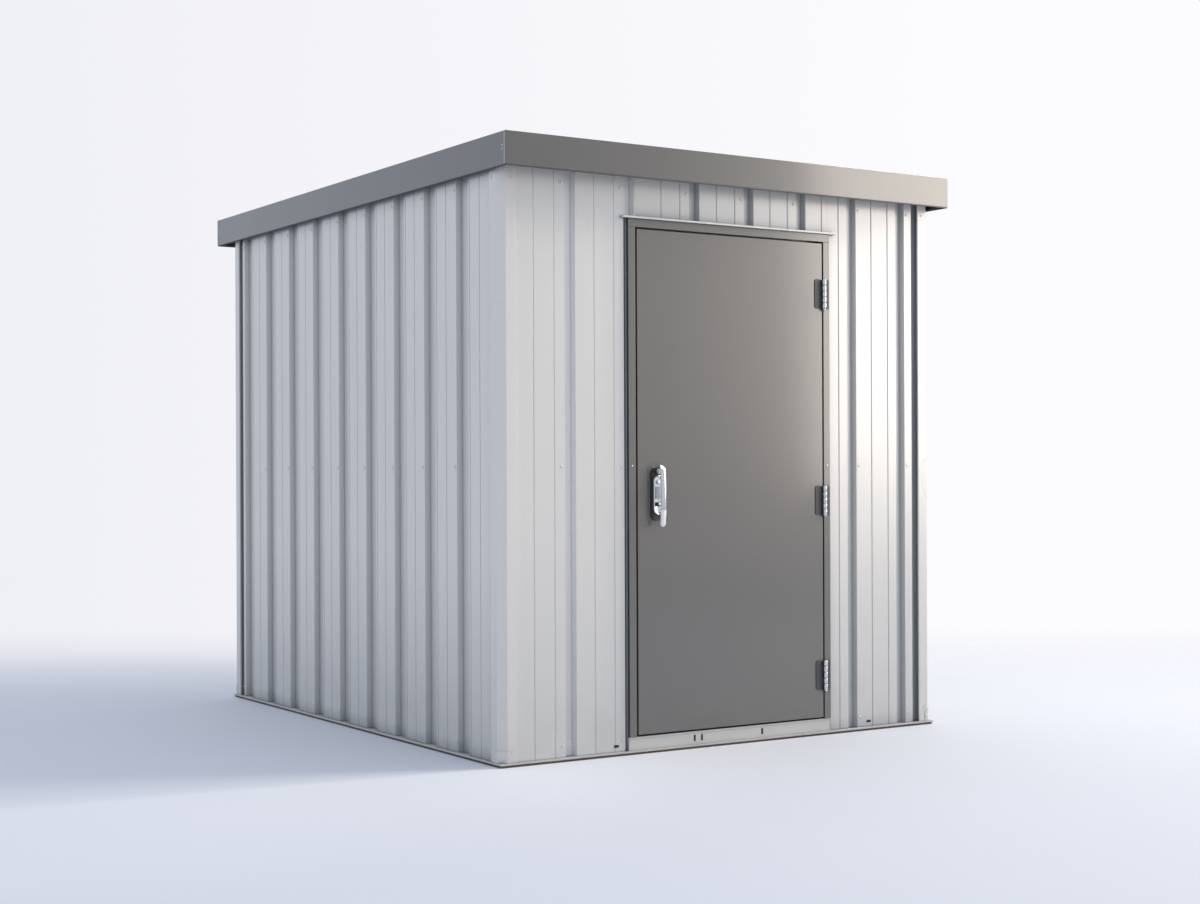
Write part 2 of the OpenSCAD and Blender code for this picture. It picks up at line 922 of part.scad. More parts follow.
// The spindle runs through the leaf to a cap that holds the lever on
cap_l = 8;
spindle_back = face_y + leaf_t + seat_clear + cap_l;
spindle_l = spindle_back - (face_y - boss_out - boss_l / 2);

module handle_lever() {
    color(chrome_grey) {
        intersection() {
            union() {
                side_view(lever_w, lever_bar);
                side_view(neck_w, neck);
            }
            along_y(handle_x, face_y, lever_top - lever_l / 2, lever_out + past)
                round_slot(lever_w, lever_l);
        }
        along_y(handle_x, face_y - boss_out, pivot_z, boss_l)
            circle(r = boss_r);
        along_y(handle_x, spindle_back, pivot_z, spindle_l)
            circle(r = spindle_r);
        along_y(handle_x, spindle_back, pivot_z, cap_l)
            circle(r = boss_r);
    }
}

base_strips();
front_base_rail();
rear_base_rail();
left_base_rail();
right_base_rail();
floor_joists();
floor_board();
door_sill();
front_left_post();
front_right_post();
rear_left_post();
rear_right_post();
corner_caps();
front_wall_left();
front_wall_right();
front_wall_header();
left_wall();
right_wall();
rear_wall();
front_left_girt();
front_right_girt();
left_girt();
right_girt();
rear_girt();
front_top_rail();
rear_top_rail();
left_top_rail();
right_top_rail();
left_jamb();
right_jamb();
door_head();
drip_cap();
hinge_frame_leaves();
roof_purlins();
roof_sheet();
front_fascia();
rear_fascia();
left_fascia();
right_fascia();
door_leaf();
hinge_door_leaves();
handle_plate();
handle_dish();
lock_cylinder();
handle_lever();
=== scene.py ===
"""Looks of the metal tool shed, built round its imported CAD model. Metres, +Z up, front wall at -Y."""

import json
import math

import bmesh
import bpy
from mathutils import Matrix, Vector


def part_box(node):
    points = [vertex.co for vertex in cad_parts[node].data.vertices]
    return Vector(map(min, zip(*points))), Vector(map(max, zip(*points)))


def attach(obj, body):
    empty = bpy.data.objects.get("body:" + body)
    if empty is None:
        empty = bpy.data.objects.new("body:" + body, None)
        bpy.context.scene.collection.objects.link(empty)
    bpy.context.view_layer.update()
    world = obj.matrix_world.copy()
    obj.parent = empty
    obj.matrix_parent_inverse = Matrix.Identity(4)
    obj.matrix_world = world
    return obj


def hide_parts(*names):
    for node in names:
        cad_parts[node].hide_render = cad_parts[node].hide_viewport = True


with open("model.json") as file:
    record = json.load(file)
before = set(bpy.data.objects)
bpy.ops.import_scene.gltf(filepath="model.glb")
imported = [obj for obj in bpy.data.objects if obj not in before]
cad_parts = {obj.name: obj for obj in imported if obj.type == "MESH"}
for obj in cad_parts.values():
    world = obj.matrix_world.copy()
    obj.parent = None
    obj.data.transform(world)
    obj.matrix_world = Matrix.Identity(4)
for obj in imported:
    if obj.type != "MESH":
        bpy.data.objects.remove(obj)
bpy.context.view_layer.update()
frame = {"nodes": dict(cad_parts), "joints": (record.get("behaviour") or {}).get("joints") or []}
NODES = frame["nodes"]
scene = bpy.context.scene
MM = 0.001
FRONT, LEFT, RIGHT, REAR = (0, -1, 0), (-1, 0, 0), (1, 0, 0), (0, 1, 0)


# ---- Node materials ----
def new_material(name, **sockets):
    material = bpy.data.materials.new(name)
    material.use_nodes = True
    tree = material.node_tree
    tree.nodes.clear()
    out = tree.nodes.new("ShaderNodeOutputMaterial")
    shader = tree.nodes.new("ShaderNodeBsdfPrincipled")
    tree.links.new(shader.outputs[0], out.inputs[0])
    for key, value in sockets.items():
        shader.inputs[key.replace("_", " ")].default_value = value
    return material, tree, shader


def add_node(tree, kind, inputs=None, **settings):
    made = tree.nodes.new(kind)
    for key, value in settings.items():
        setattr(made, key, value)
    for key, value in (inputs or {}).items():
        if isinstance(value, bpy.types.NodeSocket):
            tree.links.new(value, made.inputs[key])
        else:
            made.inputs[key].default_value = value
    return made


def noise(tree, scale, detail=3, stretch=(1, 1, 1), rough=0.5, distortion=0.0):
    """A noise in object space, whose cells are longer along an axis with a small stretch."""
    where = add_node(tree, "ShaderNodeTexCoord").outputs["Object"]
    if tuple(stretch) != (1, 1, 1):
        where = add_node(tree, "ShaderNodeMapping", {"Vector": where, "Scale": stretch}).outputs[0]
    made = add_node(tree, "ShaderNodeTexNoise", {
        "Vector": where, "Scale": scale, "Detail": detail,
        "Roughness": rough, "Distortion": distortion})
    return made.outputs["Fac"]


def remap(tree, value, lo, hi, to_lo, to_hi):
    made = add_node(tree, "ShaderNodeMapRange", {
        "Value": value, "From Min": lo, "From Max": hi, "To Min": to_lo, "To Max": to_hi})
    return made.outputs[0]


def mix(tree, factor, a, b, blend="MIX"):
    made = add_node(tree, "ShaderNodeMix", data_type="RGBA", blend_type=blend)
    for socket, value in ((made.inputs[0], factor), (made.inputs[6], a), (made.inputs[7], b)):
        if isinstance(value, bpy.types.NodeSocket):
            tree.links.new(value, socket)
        elif isinstance(value, tuple):
            socket.default_value = (*value, 1)
        else:
            socket.default_value = value
    return made.outputs[2]


def shade(colour, by):
    return tuple(c * by for c in colour)


def bump(tree, height, distance, strength=1.0, below=None):
    inputs = {"Height": height, "Distance": distance, "Strength": strength}
    if below is not None:
        inputs["Normal"] = below
    return add_node(tree, "ShaderNodeBump", inputs).outputs[0]


def height_mask(tree, lo, hi):
    """1 at the height lo, 0 at hi."""
    where = add_node(tree, "ShaderNodeTexCoord").outputs["Object"]
    z = add_node(tree, "ShaderNodeSeparateXYZ", {"Vector": where}).outputs["Z"]
    return remap(tree, z, lo, hi, 1, 0)


def times(tree, a, b):
    return add_node(tree, "ShaderNodeMath", {0: a, 1: b}, operation="MULTIPLY").outputs[0]


# Reach of the shading that marks the sheets' fine grooves, in metres
GROOVE_REACH = 0.008


def crevices(tree, distance, low):
    """Ambient occlusion as a factor that falls to low in tight folds and corners, used to paint shade there.
    """
    made = add_node(tree, "ShaderNodeAmbientOcclusion", {"Distance": distance}, samples=6)
    return remap(tree, made.outputs["AO"], 0.5, 0.98, low, 1)


# Mask of the faces that point down, where shade is painted.
def underside_shade_mask(tree):
    normal = add_node(tree, "ShaderNodeNewGeometry").outputs["Normal"]
    z = add_node(tree, "ShaderNodeSeparateXYZ", {"Vector": normal}).outputs["Z"]
    return remap(tree, z, -0.8, -0.6, 1, 0)


def paint(name, colour, roughness, metallic=0.0, coat=0.0, dust=0.3, wave=0.0012,
          fold=0.5, bottom_shade=0.0, streak=0.05, reach=0.03, groove=0.0):
    """Factory coating on sheet steel: faint mottle, rain streaks, orange peel, a slow wave and low dust, with
    painted shade in folds and grooves, on downward faces and towards the bottom.
    """
    material, tree, shader = new_material(name, Metallic=metallic, Coat_Weight=coat, Coat_Roughness=0.12)
    mottle = mix(tree, noise(tree, 1.4, 2), shade(colour, 0.975), shade(colour, 1.025))
    streaks = noise(tree, 1.0, 2, (30, 30, 0.35), 0.5)
    streaked = mix(tree, remap(tree, streaks, 0.35, 0.75, 0, streak), mottle, shade(colour, 0.6))
    dirt = times(tree, height_mask(tree, 0.03, 0.30), remap(tree, noise(tree, 9, 5), 0.35, 0.8, 0, dust))
    dusty = mix(tree, dirt, streaked, (0.40, 0.375, 0.34))
    # Painted shade: the colour is scaled by the bluish fold factor in folds, valleys and corners; a factor
    # over 1 paints them lighter.
    crease_shade = mix(tree, crevices(tree, reach, 0), (fold * 0.94, fold, fold * 1.08), (1, 1, 1))
    shaded = mix(tree, 1.0, dusty, crease_shade, "MULTIPLY")
    if groove:
        # Painted shade: thin dark lines in the fine grooves, from a short-reach occlusion.
        line = add_node(tree, "ShaderNodeAmbientOcclusion", {"Distance": GROOVE_REACH}, samples=6)
        groove_unshaded = remap(tree, line.outputs["AO"], 0.6, 0.93, 0, 1)
        wear_and_groove_shade = mix(tree, groove_unshaded, (1 - groove, 1 - groove, 1 - groove * 0.9), (1, 1, 1))
        shaded = mix(tree, 1.0, shaded, wear_and_groove_shade, "MULTIPLY")
    # Painted shade and reflection: bluish darkening towards the bottom, for the shaded floor that the sheets
    # reflect.
    low = tuple(c * k for c, k in zip(shade(colour, 0.4), (0.88, 1.0, 1.12)))
    shaded = mix(tree, times(tree, height_mask(tree, 0.12, 0.78), bottom_shade), shaded, low)
    # Painted shade: faces that point down take a much darker colour.
    shaded = mix(tree, underside_shade_mask(tree), shaded, shade(colour, 0.4))
    tree.links.new(shaded, shader.inputs["Base Color"])
    gloss = remap(tree, noise(tree, 3, 1, (1.5, 1.5, 0.4)), 0.1, 0.9, roughness - 0.03, roughness + 0.04)
    tree.links.new(gloss, shader.inputs["Roughness"])
    slow = bump(tree, noise(tree, 2.6, 1, (1, 1, 0.55)), wave)
    fine = bump(tree, noise(tree, 850, 2), 0.00003, 0.35, slow)
    tree.links.new(fine, shader.inputs["Normal"])
    return material


def galvanised(name):
    """Zinc with soft spangles."""
    material, tree, shader = new_material(name, Metallic=0.85)
    where = add_node(tree, "ShaderNodeTexCoord").outputs["Object"]
    cells = add_node(tree, "ShaderNodeTexVoronoi", {"Vector": where, "Scale": 85.0, "Randomness": 1.0})
    grey = add_node(tree, "ShaderNodeSeparateColor", {"Color": cells.outputs["Color"]}).outputs[0]
    spangle = mix(tree, grey, (0.42, 0.44, 0.46), (0.60, 0.62, 0.64))
    dull = mix(tree, remap(tree, noise(tree, 7, 5), 0.4, 0.7, 0, 0.4), spangle, (0.36, 0.37, 0.38))
    tree.links.new(dull, shader.inputs["Base Color"])
    tree.links.new(remap(tree, grey, 0, 1, 0.34, 0.52), shader.inputs["Roughness"])
    tree.links.new(bump(tree, grey, 0.00004, 0.4), shader.inputs["Normal"])
    return material


def wood(name, dark, light, grain, roughness, film=0.0):
    """Timber with its grain along the axis whose grain number is small. film hides the grain under a coat."""
    material, tree, shader = new_material(name, Coat_Weight=film, Coat_Roughness=0.25)
    rings = noise(tree, 1.0, 6, grain, 0.62, 0.6)
    fibres = noise(tree, 1.0, 3, tuple(g * 9 for g in grain), 0.7)
    body = mix(tree, remap(tree, rings, 0.35, 0.68, 0, 1), dark, light)
    fine = mix(tree, remap(tree, fibres, 0.3, 0.7, 0, 0.5 - 0.3 * film), body, shade(dark, 0.6))
    wear_and_groove_shade = mix(tree, remap(tree, noise(tree, 3, 5), 0.45, 0.8, 0, 0.35), fine, shade(light, 1.15))
    tree.links.new(wear_and_groove_shade, shader.inputs["Base Color"])
    tree.links.new(remap(tree, rings, 0.3, 0.7, roughness - 0.08, roughness + 0.1),
                   shader.inputs["Roughness"])
    tree.links.new(bump(tree, fibres, 0.0003, 0.5), shader.inputs["Normal"])
    return material


def chrome(name, low, high, colour=(0.80, 0.82, 0.85)):
    """Plated metal, with faint wipe marks in its gloss."""
    material, tree, shader = new_material(name, Metallic=1.0)
    tint = mix(tree, noise(tree, 30, 3), shade(colour, 0.95), shade(colour, 1.05))
    tree.links.new(tint, shader.inputs["Base Color"])
    wipe = noise(tree, 60, 4, (1, 1, 5), 0.6)
    tree.links.new(remap(tree, wipe, 0.3, 0.7, low, high), shader.inputs["Roughness"])
    tree.links.new(bump(tree, noise(tree, 1400, 2), 0.00001, 0.2), shader.inputs["Normal"])
    return material


def dull_black(name, colour, roughness, grain):
    """Textured black plastic or rubber."""
    material, tree, shader = new_material(name)
    body = mix(tree, noise(tree, 25, 4), shade(colour, 0.8), shade(colour, 1.5))
    tree.links.new(body, shader.inputs["Base Color"])
    tree.links.new(remap(tree, noise(tree, 90, 3), 0.3, 0.7, roughness - 0.06, roughness + 0.08),
                   shader.inputs["Roughness"])
    tree.links.new(bump(tree, noise(tree, grain, 2), 0.00008, 0.5), shader.inputs["Normal"])
    return material


WALL_COLOUR = (0.69, 0.675, 0.65)
MATERIALS = {
    "wall_paint": paint("shed_wall_paint", WALL_COLOUR, 0.25, metallic=0.08, fold=0.48, bottom_shade=0.26,
                        reach=0.08, streak=0.03, groove=0.35),
    "trim_paint": paint("shed_trim_paint", WALL_COLOUR, 0.28, metallic=0.08, fold=0.5, bottom_shade=0.14),
    "fascia_paint": paint("shed_fascia_paint", (0.092, 0.090, 0.088), 0.33, coat=1.0, dust=0.0, wave=0.0004),
    "door_paint": paint("shed_door_paint", (0.118, 0.113, 0.108), 0.31, coat=0.95, dust=0.08,
                        wave=0.0005, bottom_shade=0.1, streak=0.0),
    "galvanised_steel": galvanised("shed_galvanised"),
    "floor_wood": wood("shed_plywood", (0.20, 0.115, 0.055), (0.36, 0.23, 0.12), (30, 1.6, 30), 0.42, 0.5),
    "strip_wood": wood("shed_strip", (0.075, 0.045, 0.02), (0.16, 0.10, 0.05), (12, 12, 40), 0.75),
    "chrome": chrome("shed_chrome", 0.10, 0.18, (0.60, 0.62, 0.65)),
    "lock_black": dull_black("shed_black", (0.016, 0.016, 0.018), 0.42, 1600),
}
SATIN = chrome("shed_satin", 0.26, 0.36, (0.70, 0.71, 0.73))
RUBBER = dull_black("shed_rubber", (0.012, 0.012, 0.013), 0.75, 900)
HINGE_DARK = paint("shed_hinge_paint", (0.05, 0.05, 0.053), 0.5, dust=0.05)
# Painted light: a copy of the wall paint whose valleys are painted lighter, not shaded.
LIT_VALLEY_WALL = paint("shed_wall_paint_lit_valleys", (0.68, 0.67, 0.645), 0.25, metallic=0.08, fold=1.22,
                  bottom_shade=0.22, streak=0.02, groove=0.4)
# Painted light: a copy of the wall paint with less painted shade in its valleys.
LIT_WALL = paint("shed_wall_paint_lit_side", WALL_COLOUR, 0.25, metallic=0.08, fold=0.62, bottom_shade=0.26,
                 reach=0.08, streak=0.02, groove=0.4)
SILL_PAINT = paint("shed_sill_paint", (0.56, 0.55, 0.53), 0.3, metallic=0.08, fold=0.6, streak=0.02)
# Painted highlight: paler than the wall paint and nearly free of painted shade, so the screw heads show as
# light spots.
SCREW_PAINT = paint("shed_screw_paint", (0.74, 0.73, 0.71), 0.3, metallic=0.3, fold=0.9, streak=0.0)
# Paints picked by node: lit copies of the wall paint with less painted shade, and the sill's paint.
PAINT_BY_NODE = {"front_wall_left": LIT_VALLEY_WALL, "front_wall_right": LIT_WALL,
             "front_wall_header": LIT_WALL, "door_sill": SILL_PAINT}


# ---- CAD nodes: eased edges and materials ----
def weld_group():
    """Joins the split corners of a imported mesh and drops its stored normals."""
    group = bpy.data.node_groups.new("shed_weld", "GeometryNodeTree")
    for way in ("INPUT", "OUTPUT"):
        group.interface.new_socket("Geometry", in_out=way, socket_type="NodeSocketGeometry")
    start = group.nodes.new("NodeGroupInput")
    drop = group.nodes.new("GeometryNodeRemoveAttribute")
    drop.inputs["Name"].default_value = "custom_normal"
    merge = group.nodes.new("GeometryNodeMergeByDistance")
    merge.inputs["Distance"].default_value = 0.01 * MM
    end = group.nodes.new("NodeGroupOutput")
    group.links.new(start.outputs[0], drop.inputs["Geometry"])
    group.links.new(drop.outputs["Geometry"], merge.inputs["Geometry"])
    group.links.new(merge.outputs["Geometry"], end.inputs[0])
    return group


SHARP_ANGLE = math.radians(50)


def smooth_group():
    """Smooth faces, with each edge over SHARP_ANGLE kept sharp."""
    group = bpy.data.node_groups.new("shed_smooth", "GeometryNodeTree")
    for way in ("INPUT", "OUTPUT"):
        group.interface.new_socket("Geometry", in_out=way, socket_type="NodeSocketGeometry")
    start = group.nodes.new("NodeGroupInput")
    faces = group.nodes.new("GeometryNodeSetShadeSmooth")
    edges = group.nodes.new("GeometryNodeSetShadeSmooth")
    edges.domain = "EDGE"
    edges.inputs["Shade Smooth"].default_value = False
    angle = group.nodes.new("GeometryNodeInputMeshEdgeAngle")
    steep = group.nodes.new("FunctionNodeCompare")
    steep.operation = "GREATER_THAN"
    steep.inputs[1].default_value = SHARP_ANGLE
    end = group.nodes.new("NodeGroupOutput")
    group.links.new(start.outputs[0], faces.inputs["Geometry"])
    group.links.new(faces.outputs["Geometry"], edges.inputs["Geometry"])
    group.links.new(angle.outputs["Unsigned Angle"], steep.inputs[0])
    group.links.new(steep.outputs[0], edges.inputs["Selection"])
    group.links.new(edges.outputs["Geometry"], end.inputs[0])
    return group


WELD, SMOOTH = weld_group(), smooth_group()


def ease(obj, width, segments=2, angle=18, weld=True):
    """Rounds an object's edges by a bevel of that width in millimetres."""
    if weld:
        obj.modifiers.new("weld", "NODES").node_group = WELD
        flat = obj.modifiers.new("flat", "DECIMATE")
        flat.decimate_type = "DISSOLVE"
        flat.angle_limit = math.radians(0.5)
    bevel = obj.modifiers.new("ease", "BEVEL")
    bevel.width = width * MM
    bevel.segments = segments
    bevel.limit_method = "ANGLE"
    bevel.angle_limit = math.radians(angle)
    obj.modifiers.new("smooth", "NODES").node_group = SMOOTH
    normals = obj.modifiers.new("normals", "WEIGHTED_NORMAL")
    normals.keep_sharp = True
    normals.weight = 100


def finish_cad_nodes():
    widths = {
        "front_wall_left": 0.5, "front_wall_right": 0.5, "front_wall_header": 0.5, "left_wall": 0.5,
        "right_wall": 0.5, "rear_wall": 0.5, "roof_sheet": 2.0, "door_leaf": 2.2, "left_jamb": 1.5,
        "right_jamb": 1.5, "door_head": 1.5, "drip_cap": 1.2, "handle_plate": 2.5, "door_sill": 1.0,
        "front_left_post": 2.5, "front_right_post": 2.5, "rear_left_post": 2.5, "rear_right_post": 2.5,
        "corner_caps": 0.5, "front_fascia": 0.8, "rear_fascia": 0.8}
    for name, obj in NODES.items():
        slot_name = obj.material_slots[0].material.name
        obj.material_slots[0].material = PAINT_BY_NODE.get(name, MATERIALS[slot_name])
        ease(obj, widths.get(name, 0.8), 3 if name in ("door_leaf", "handle_plate") else 2)


# ---- Mesh helpers ----
def spot(point, normal, up=(0, 0, 1)):
    """A matrix at a point, its Z along the normal and its Y as near to up as can be."""
    n = Vector(normal).normalized()
    side = Vector(up).cross(n)
    x = side.normalized() if side.length > 1e-6 else Vector((1, 0, 0))
    made = Matrix((x, n.cross(x), n)).transposed().to_4x4()
    made.translation = Vector(point)
    return made


def skin(bm, rings):
    """Joins rings of vertices end to end. A one-vertex ring is a point, and any other end gets a cap."""
    for a, b in zip(rings, rings[1:]):
        count = max(len(a), len(b))
        for i in range(count):
            j = (i + 1) % count
            quad = [a[i % len(a)], a[j % len(a)], b[j % len(b)], b[i % len(b)]]
            kept = [v for k, v in enumerate(quad) if v not in quad[:k]]
            bm.faces.new(kept)
    for ring in (rings[0], rings[-1]):
        if len(ring) > 2:
            bm.faces.new(ring)


def loft(bm, place, rings):
    """rings are lists of points; each is moved by the matrix place, in millimetres."""
    skin(bm, [[bm.verts.new(place @ (Vector(p) * MM)) for p in ring] for ring in rings])


def lathe(bm, place, profile, sides=20, turn=0.0):
    """profile is (radius, height) pairs in millimetres, round the Z of place."""
    angles = [turn + 2 * math.pi * i / sides for i in range(sides)]
    loft(bm, place, [
        [(0, 0, h)] if r == 0 else [(r * math.cos(a), r * math.sin(a), h) for a in angles]
        for r, h in profile])


def box(bm, lo, hi):
    """A box between two corners, in metres."""
    (x0, y0, z0), (x1, y1, z1) = lo, hi
    low = [bm.verts.new(p) for p in ((x0, y0, z0), (x1, y0, z0), (x1, y1, z0), (x0, y1, z0))]
    high = [bm.verts.new(p) for p in ((x0, y0, z1), (x1, y0, z1), (x1, y1, z1), (x0, y1, z1))]
    skin(bm, [low, high])


def rounded(width, height, radius, steps=6):
    """Outline of a rectangle with round corners, as (x, y) in millimetres."""
    points = []
    for sx, sy, start in ((1, 1, 0), (-1, 1, 90), (-1, -1, 180), (1, -1, 270)):
        for i in range(steps + 1):
            a = math.radians(start + 90 * i / steps)
            points.append((sx * (width / 2 - radius) + radius * math.cos(a),
                           sy * (height / 2 - radius) + radius * math.sin(a)))
    return points


def plate(bm, place, outlines):
    """outlines are (outline, height) pairs, from the back to the front of a plate."""
    loft(bm, place, [[(x, y, h) for x, y in outline] for outline, h in outlines])


def piece(name, bm, body, material, sharp=40):
    bmesh.ops.recalc_face_normals(bm, faces=bm.faces)
    mesh = bpy.data.meshes.new(name)
    bm.to_mesh(mesh)
    bm.free()
    mesh.shade_smooth()
    mesh.set_sharp_from_angle(angle=math.radians(sharp))
    obj = bpy.data.objects.new(name, mesh)
    scene.collection.objects.link(obj)
    mesh.materials.append(material)
    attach(obj, body)
    return obj


def slot_piece(name, bm, body, slot, sharp=40):
    return piece(name, bm, body, MATERIALS[slot], sharp)


def baked(obj):
    """Applies an object's modifiers to its mesh."""
    graph = bpy.context.evaluated_depsgraph_get()
    mesh = bpy.data.meshes.new_from_object(obj.evaluated_get(graph))
    obj.modifiers.clear()
    obj.data = mesh


# ---- Fasteners ----
def hex_screw(bm, place, size=1.0):
    """Self-drilling screw: a sealing washer, a flange and a hexagon head."""
    s = size
    lathe(bm, place, [(0, -0.5 * s), (7 * s, -0.5 * s), (7 * s, 0.5 * s), (6.6 * s, 1.1 * s),
                      (5.6 * s, 1.4 * s), (5.3 * s, 1.9 * s), (0, 2 * s)], 18)
    lathe(bm, place, [(0, 1.8 * s), (4.3 * s, 1.8 * s), (4.3 * s, 5 * s), (3.7 * s, 5.6 * s),
                      (0, 5.6 * s)], 6)


def pan_screw(bm, place, radius):
    """Low round head with a small drive recess."""
    r = radius
    lathe(bm, place, [(0, -0.4), (r, -0.4), (r, 0.1 * r), (0.93 * r, 0.3 * r), (0.7 * r, 0.46 * r),
                      (0.36 * r, 0.54 * r), (0.3 * r, 0.3 * r), (0, 0.28 * r)], 16)


def rivet(bm, place, radius, height):
    r, h = radius, height
    lathe(bm, place, [(0, -0.4), (r, -0.4), (r, 0.15 * h), (0.9 * r, 0.55 * h), (0.62 * r, 0.9 * h),
                      (0.4 * r, h), (0.34 * r, 0.75 * h), (0, 0.72 * h)], 18)


def lumps(name, axis, gap=0.05):
    """Spans along an axis of the separate pieces of a CAD node, as (low, high) pairs."""
    values = sorted(v.co[axis] for v in NODES[name].data.vertices)
    spans = [[values[0], values[0]]]
    for value in values:
        if value - spans[-1][1] > gap:
            spans.append([value, value])
        spans[-1][1] = value
    return spans


def levels(name, axis, keep, tolerance=0.0002):
    """Sorted places along an axis of a CAD node's vertices that keep() accepts, each once."""
    found = []
    for value in sorted(v.co[axis] for v in NODES[name].data.vertices if keep(v.co)):
        if not found or value - found[-1] > tolerance:
            found.append(value)
    return found


def valley_floors(name, axis, depth_axis, inner):
    """Flat floors of a profiled sheet's valleys, as (low, high). inner is the depth of its inmost face."""
    edges = levels(name, axis, lambda co: abs(co[depth_axis] - inner) < 0.0003)
    return list(zip(edges[::2], edges[1::2]))


# Each wall: node, outward normal, axis along it, way to the screw beside each valley
WALLS = [
    ("left_wall", LEFT, 1, 1), ("right_wall", RIGHT, 1, 1), ("rear_wall", REAR, 0, -1),
    ("front_wall_left", FRONT, 0, -1), ("front_wall_header", FRONT, 0, -1), ("front_wall_right", FRONT, 0, 1),
]
SCREW_SIDE = 21 * MM
SCREW_LOW, SCREW_TOP = 43 * MM, 58 * MM
POST_LAP = 42 * MM


def wall_screws():
    girt_z = sum(b.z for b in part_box("left_girt")) / 2
    for name, normal, axis, way in WALLS:
        lo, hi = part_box(name)
        depth_axis = 1 - axis
        outward = normal[depth_axis]
        outer, inner = (hi, lo) if outward > 0 else (lo, hi)
        bm = bmesh.new()
        heights = [hi.z - SCREW_TOP] if name == "front_wall_header" else [
            lo.z + SCREW_LOW, girt_z, hi.z - SCREW_TOP]
        for low, high in valley_floors(name, axis, depth_axis, inner[depth_axis]):
            at = high + SCREW_SIDE if way > 0 else low - SCREW_SIDE
            if not lo[axis] + POST_LAP < at < hi[axis] - POST_LAP:
                continue
            for z in heights:
                point = Vector((0, 0, z))
                point[axis] = at
                point[depth_axis] = outer[depth_axis]
                hex_screw(bm, spot(point, normal), 0.8)
        piece(name + "_screws", bm, "shed", SCREW_PAINT)


def post_and_cap_screws():
    """Pan heads on the corner posts near the top, and on both faces of the corner caps."""
    tops, caps = bmesh.new(), bmesh.new()
    cap_lo, cap_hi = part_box("corner_caps")
    for name in ("front_left_post", "front_right_post", "rear_left_post", "rear_right_post"):
        lo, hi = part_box(name)
        sx, sy = (1 if lo.x > 0 else -1), (1 if lo.y > 0 else -1)
        face_x, face_y = (hi.x if sx > 0 else lo.x), (hi.y if sy > 0 else lo.y)
        top = hi.z - 52 * MM
        pan_screw(tops, spot((face_x, face_y - sy * 0.052, top), (sx, 0, 0)), 4.2)
        pan_screw(tops, spot((face_x - sx * 0.052, face_y, top), (0, sy, 0)), 4.2)
        cap_x, cap_y = (cap_hi.x if sx > 0 else cap_lo.x), (cap_hi.y if sy > 0 else cap_lo.y)
        mid = (cap_lo.z + cap_hi.z) / 2
        pan_screw(caps, spot((cap_x, face_y - sy * 0.035, mid), (sx, 0, 0)), 5)
        pan_screw(caps, spot((face_x - sx * 0.035, cap_y, mid), (0, sy, 0)), 5)
    piece("post_screws", tops, "shed", SCREW_PAINT)
    piece("corner_cap_screws", caps, "shed", SCREW_PAINT)


def roof_screws():
    """A capped screw on each rib of the roof over each purlin."""
    lo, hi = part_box("roof_sheet")
    ys = levels("roof_sheet", 1, lambda co: True, 0.5)
    front = ys[0]
    crown = levels("roof_sheet", 0, lambda co: co.y < front + 0.01 and co.z > hi.z - 0.0006)
    ribs = [(a + b) / 2 for a, b in zip(crown[::2], crown[1::2])]
    rear_top = max(v.co.z for v in NODES["roof_sheet"].data.vertices if v.co.y > hi.y - 0.01)
    slope = (hi.z - rear_top) / (hi.y - lo.y)
    bm = bmesh.new()
    for y0, y1 in lumps("roof_purlins", 1):
        y = (y0 + y1) / 2
        for x in ribs:
            hex_screw(bm, spot((x, y, hi.z - slope * (y - lo.y)), (0, slope, 1), (0, 1, 0)), 0.85)
    slot_piece("roof_screws", bm, "shed", "galvanised_steel")


# ---- Roof edge ----
RIVET_H = 0.9
FASCIA_INSET = 1.0


def fold_highlights():
    """Pale strip down each corner fold of the front and rear fascias, a painted highlight."""
    bm = bmesh.new()
    for name, way in (("front_fascia", 1), ("rear_fascia", -1)):
        lo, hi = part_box(name)
        y_out = lo.y if way > 0 else hi.y
        for x_out, sign in ((lo.x, -1), (hi.x, 1)):
            xs = sorted((x_out, x_out - sign * 1.4 * MM))
            ys = sorted((y_out + way * 7.6 * MM, y_out + way * 10.4 * MM))
            box(bm, (xs[0], ys[0], lo.z + 1 * MM), (xs[1], ys[1], hi.z - 1 * MM))
    slot_piece("fascia_fold_highlights", bm, "shed", "trim_paint")


SHADE_STRIP_H = 4.5


def shade_strips():
    """Near-black strip just below the fascia's lower edge, all the way round: painted shade, standing in for
    the shade line under the fascia.
    """
    bm = bmesh.new()
    lo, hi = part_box("front_fascia")[0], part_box("rear_fascia")[1]
    z0, z1 = lo.z - SHADE_STRIP_H * MM, lo.z + 0.5 * MM
    inset, thick = 1.6 * MM, 5 * MM
    x0, x1, y0, y1 = lo.x + inset, hi.x - inset, lo.y + 0.4 * MM, hi.y - 0.4 * MM
    box(bm, (x0, y0, z0), (x1, y0 + thick, z1))
    box(bm, (x0, y1 - thick, z0), (x1, y1, z1))
    for a, b in ((x0, x0 + thick), (x1 - thick, x1)):
        box(bm, (a, y0 + thick, z0), (b, y1 - thick, z1))
    obj = piece("fascia_shade_strips", bm, "shed", HINGE_DARK)
    ease(obj, 0.8, 2, weld=False)


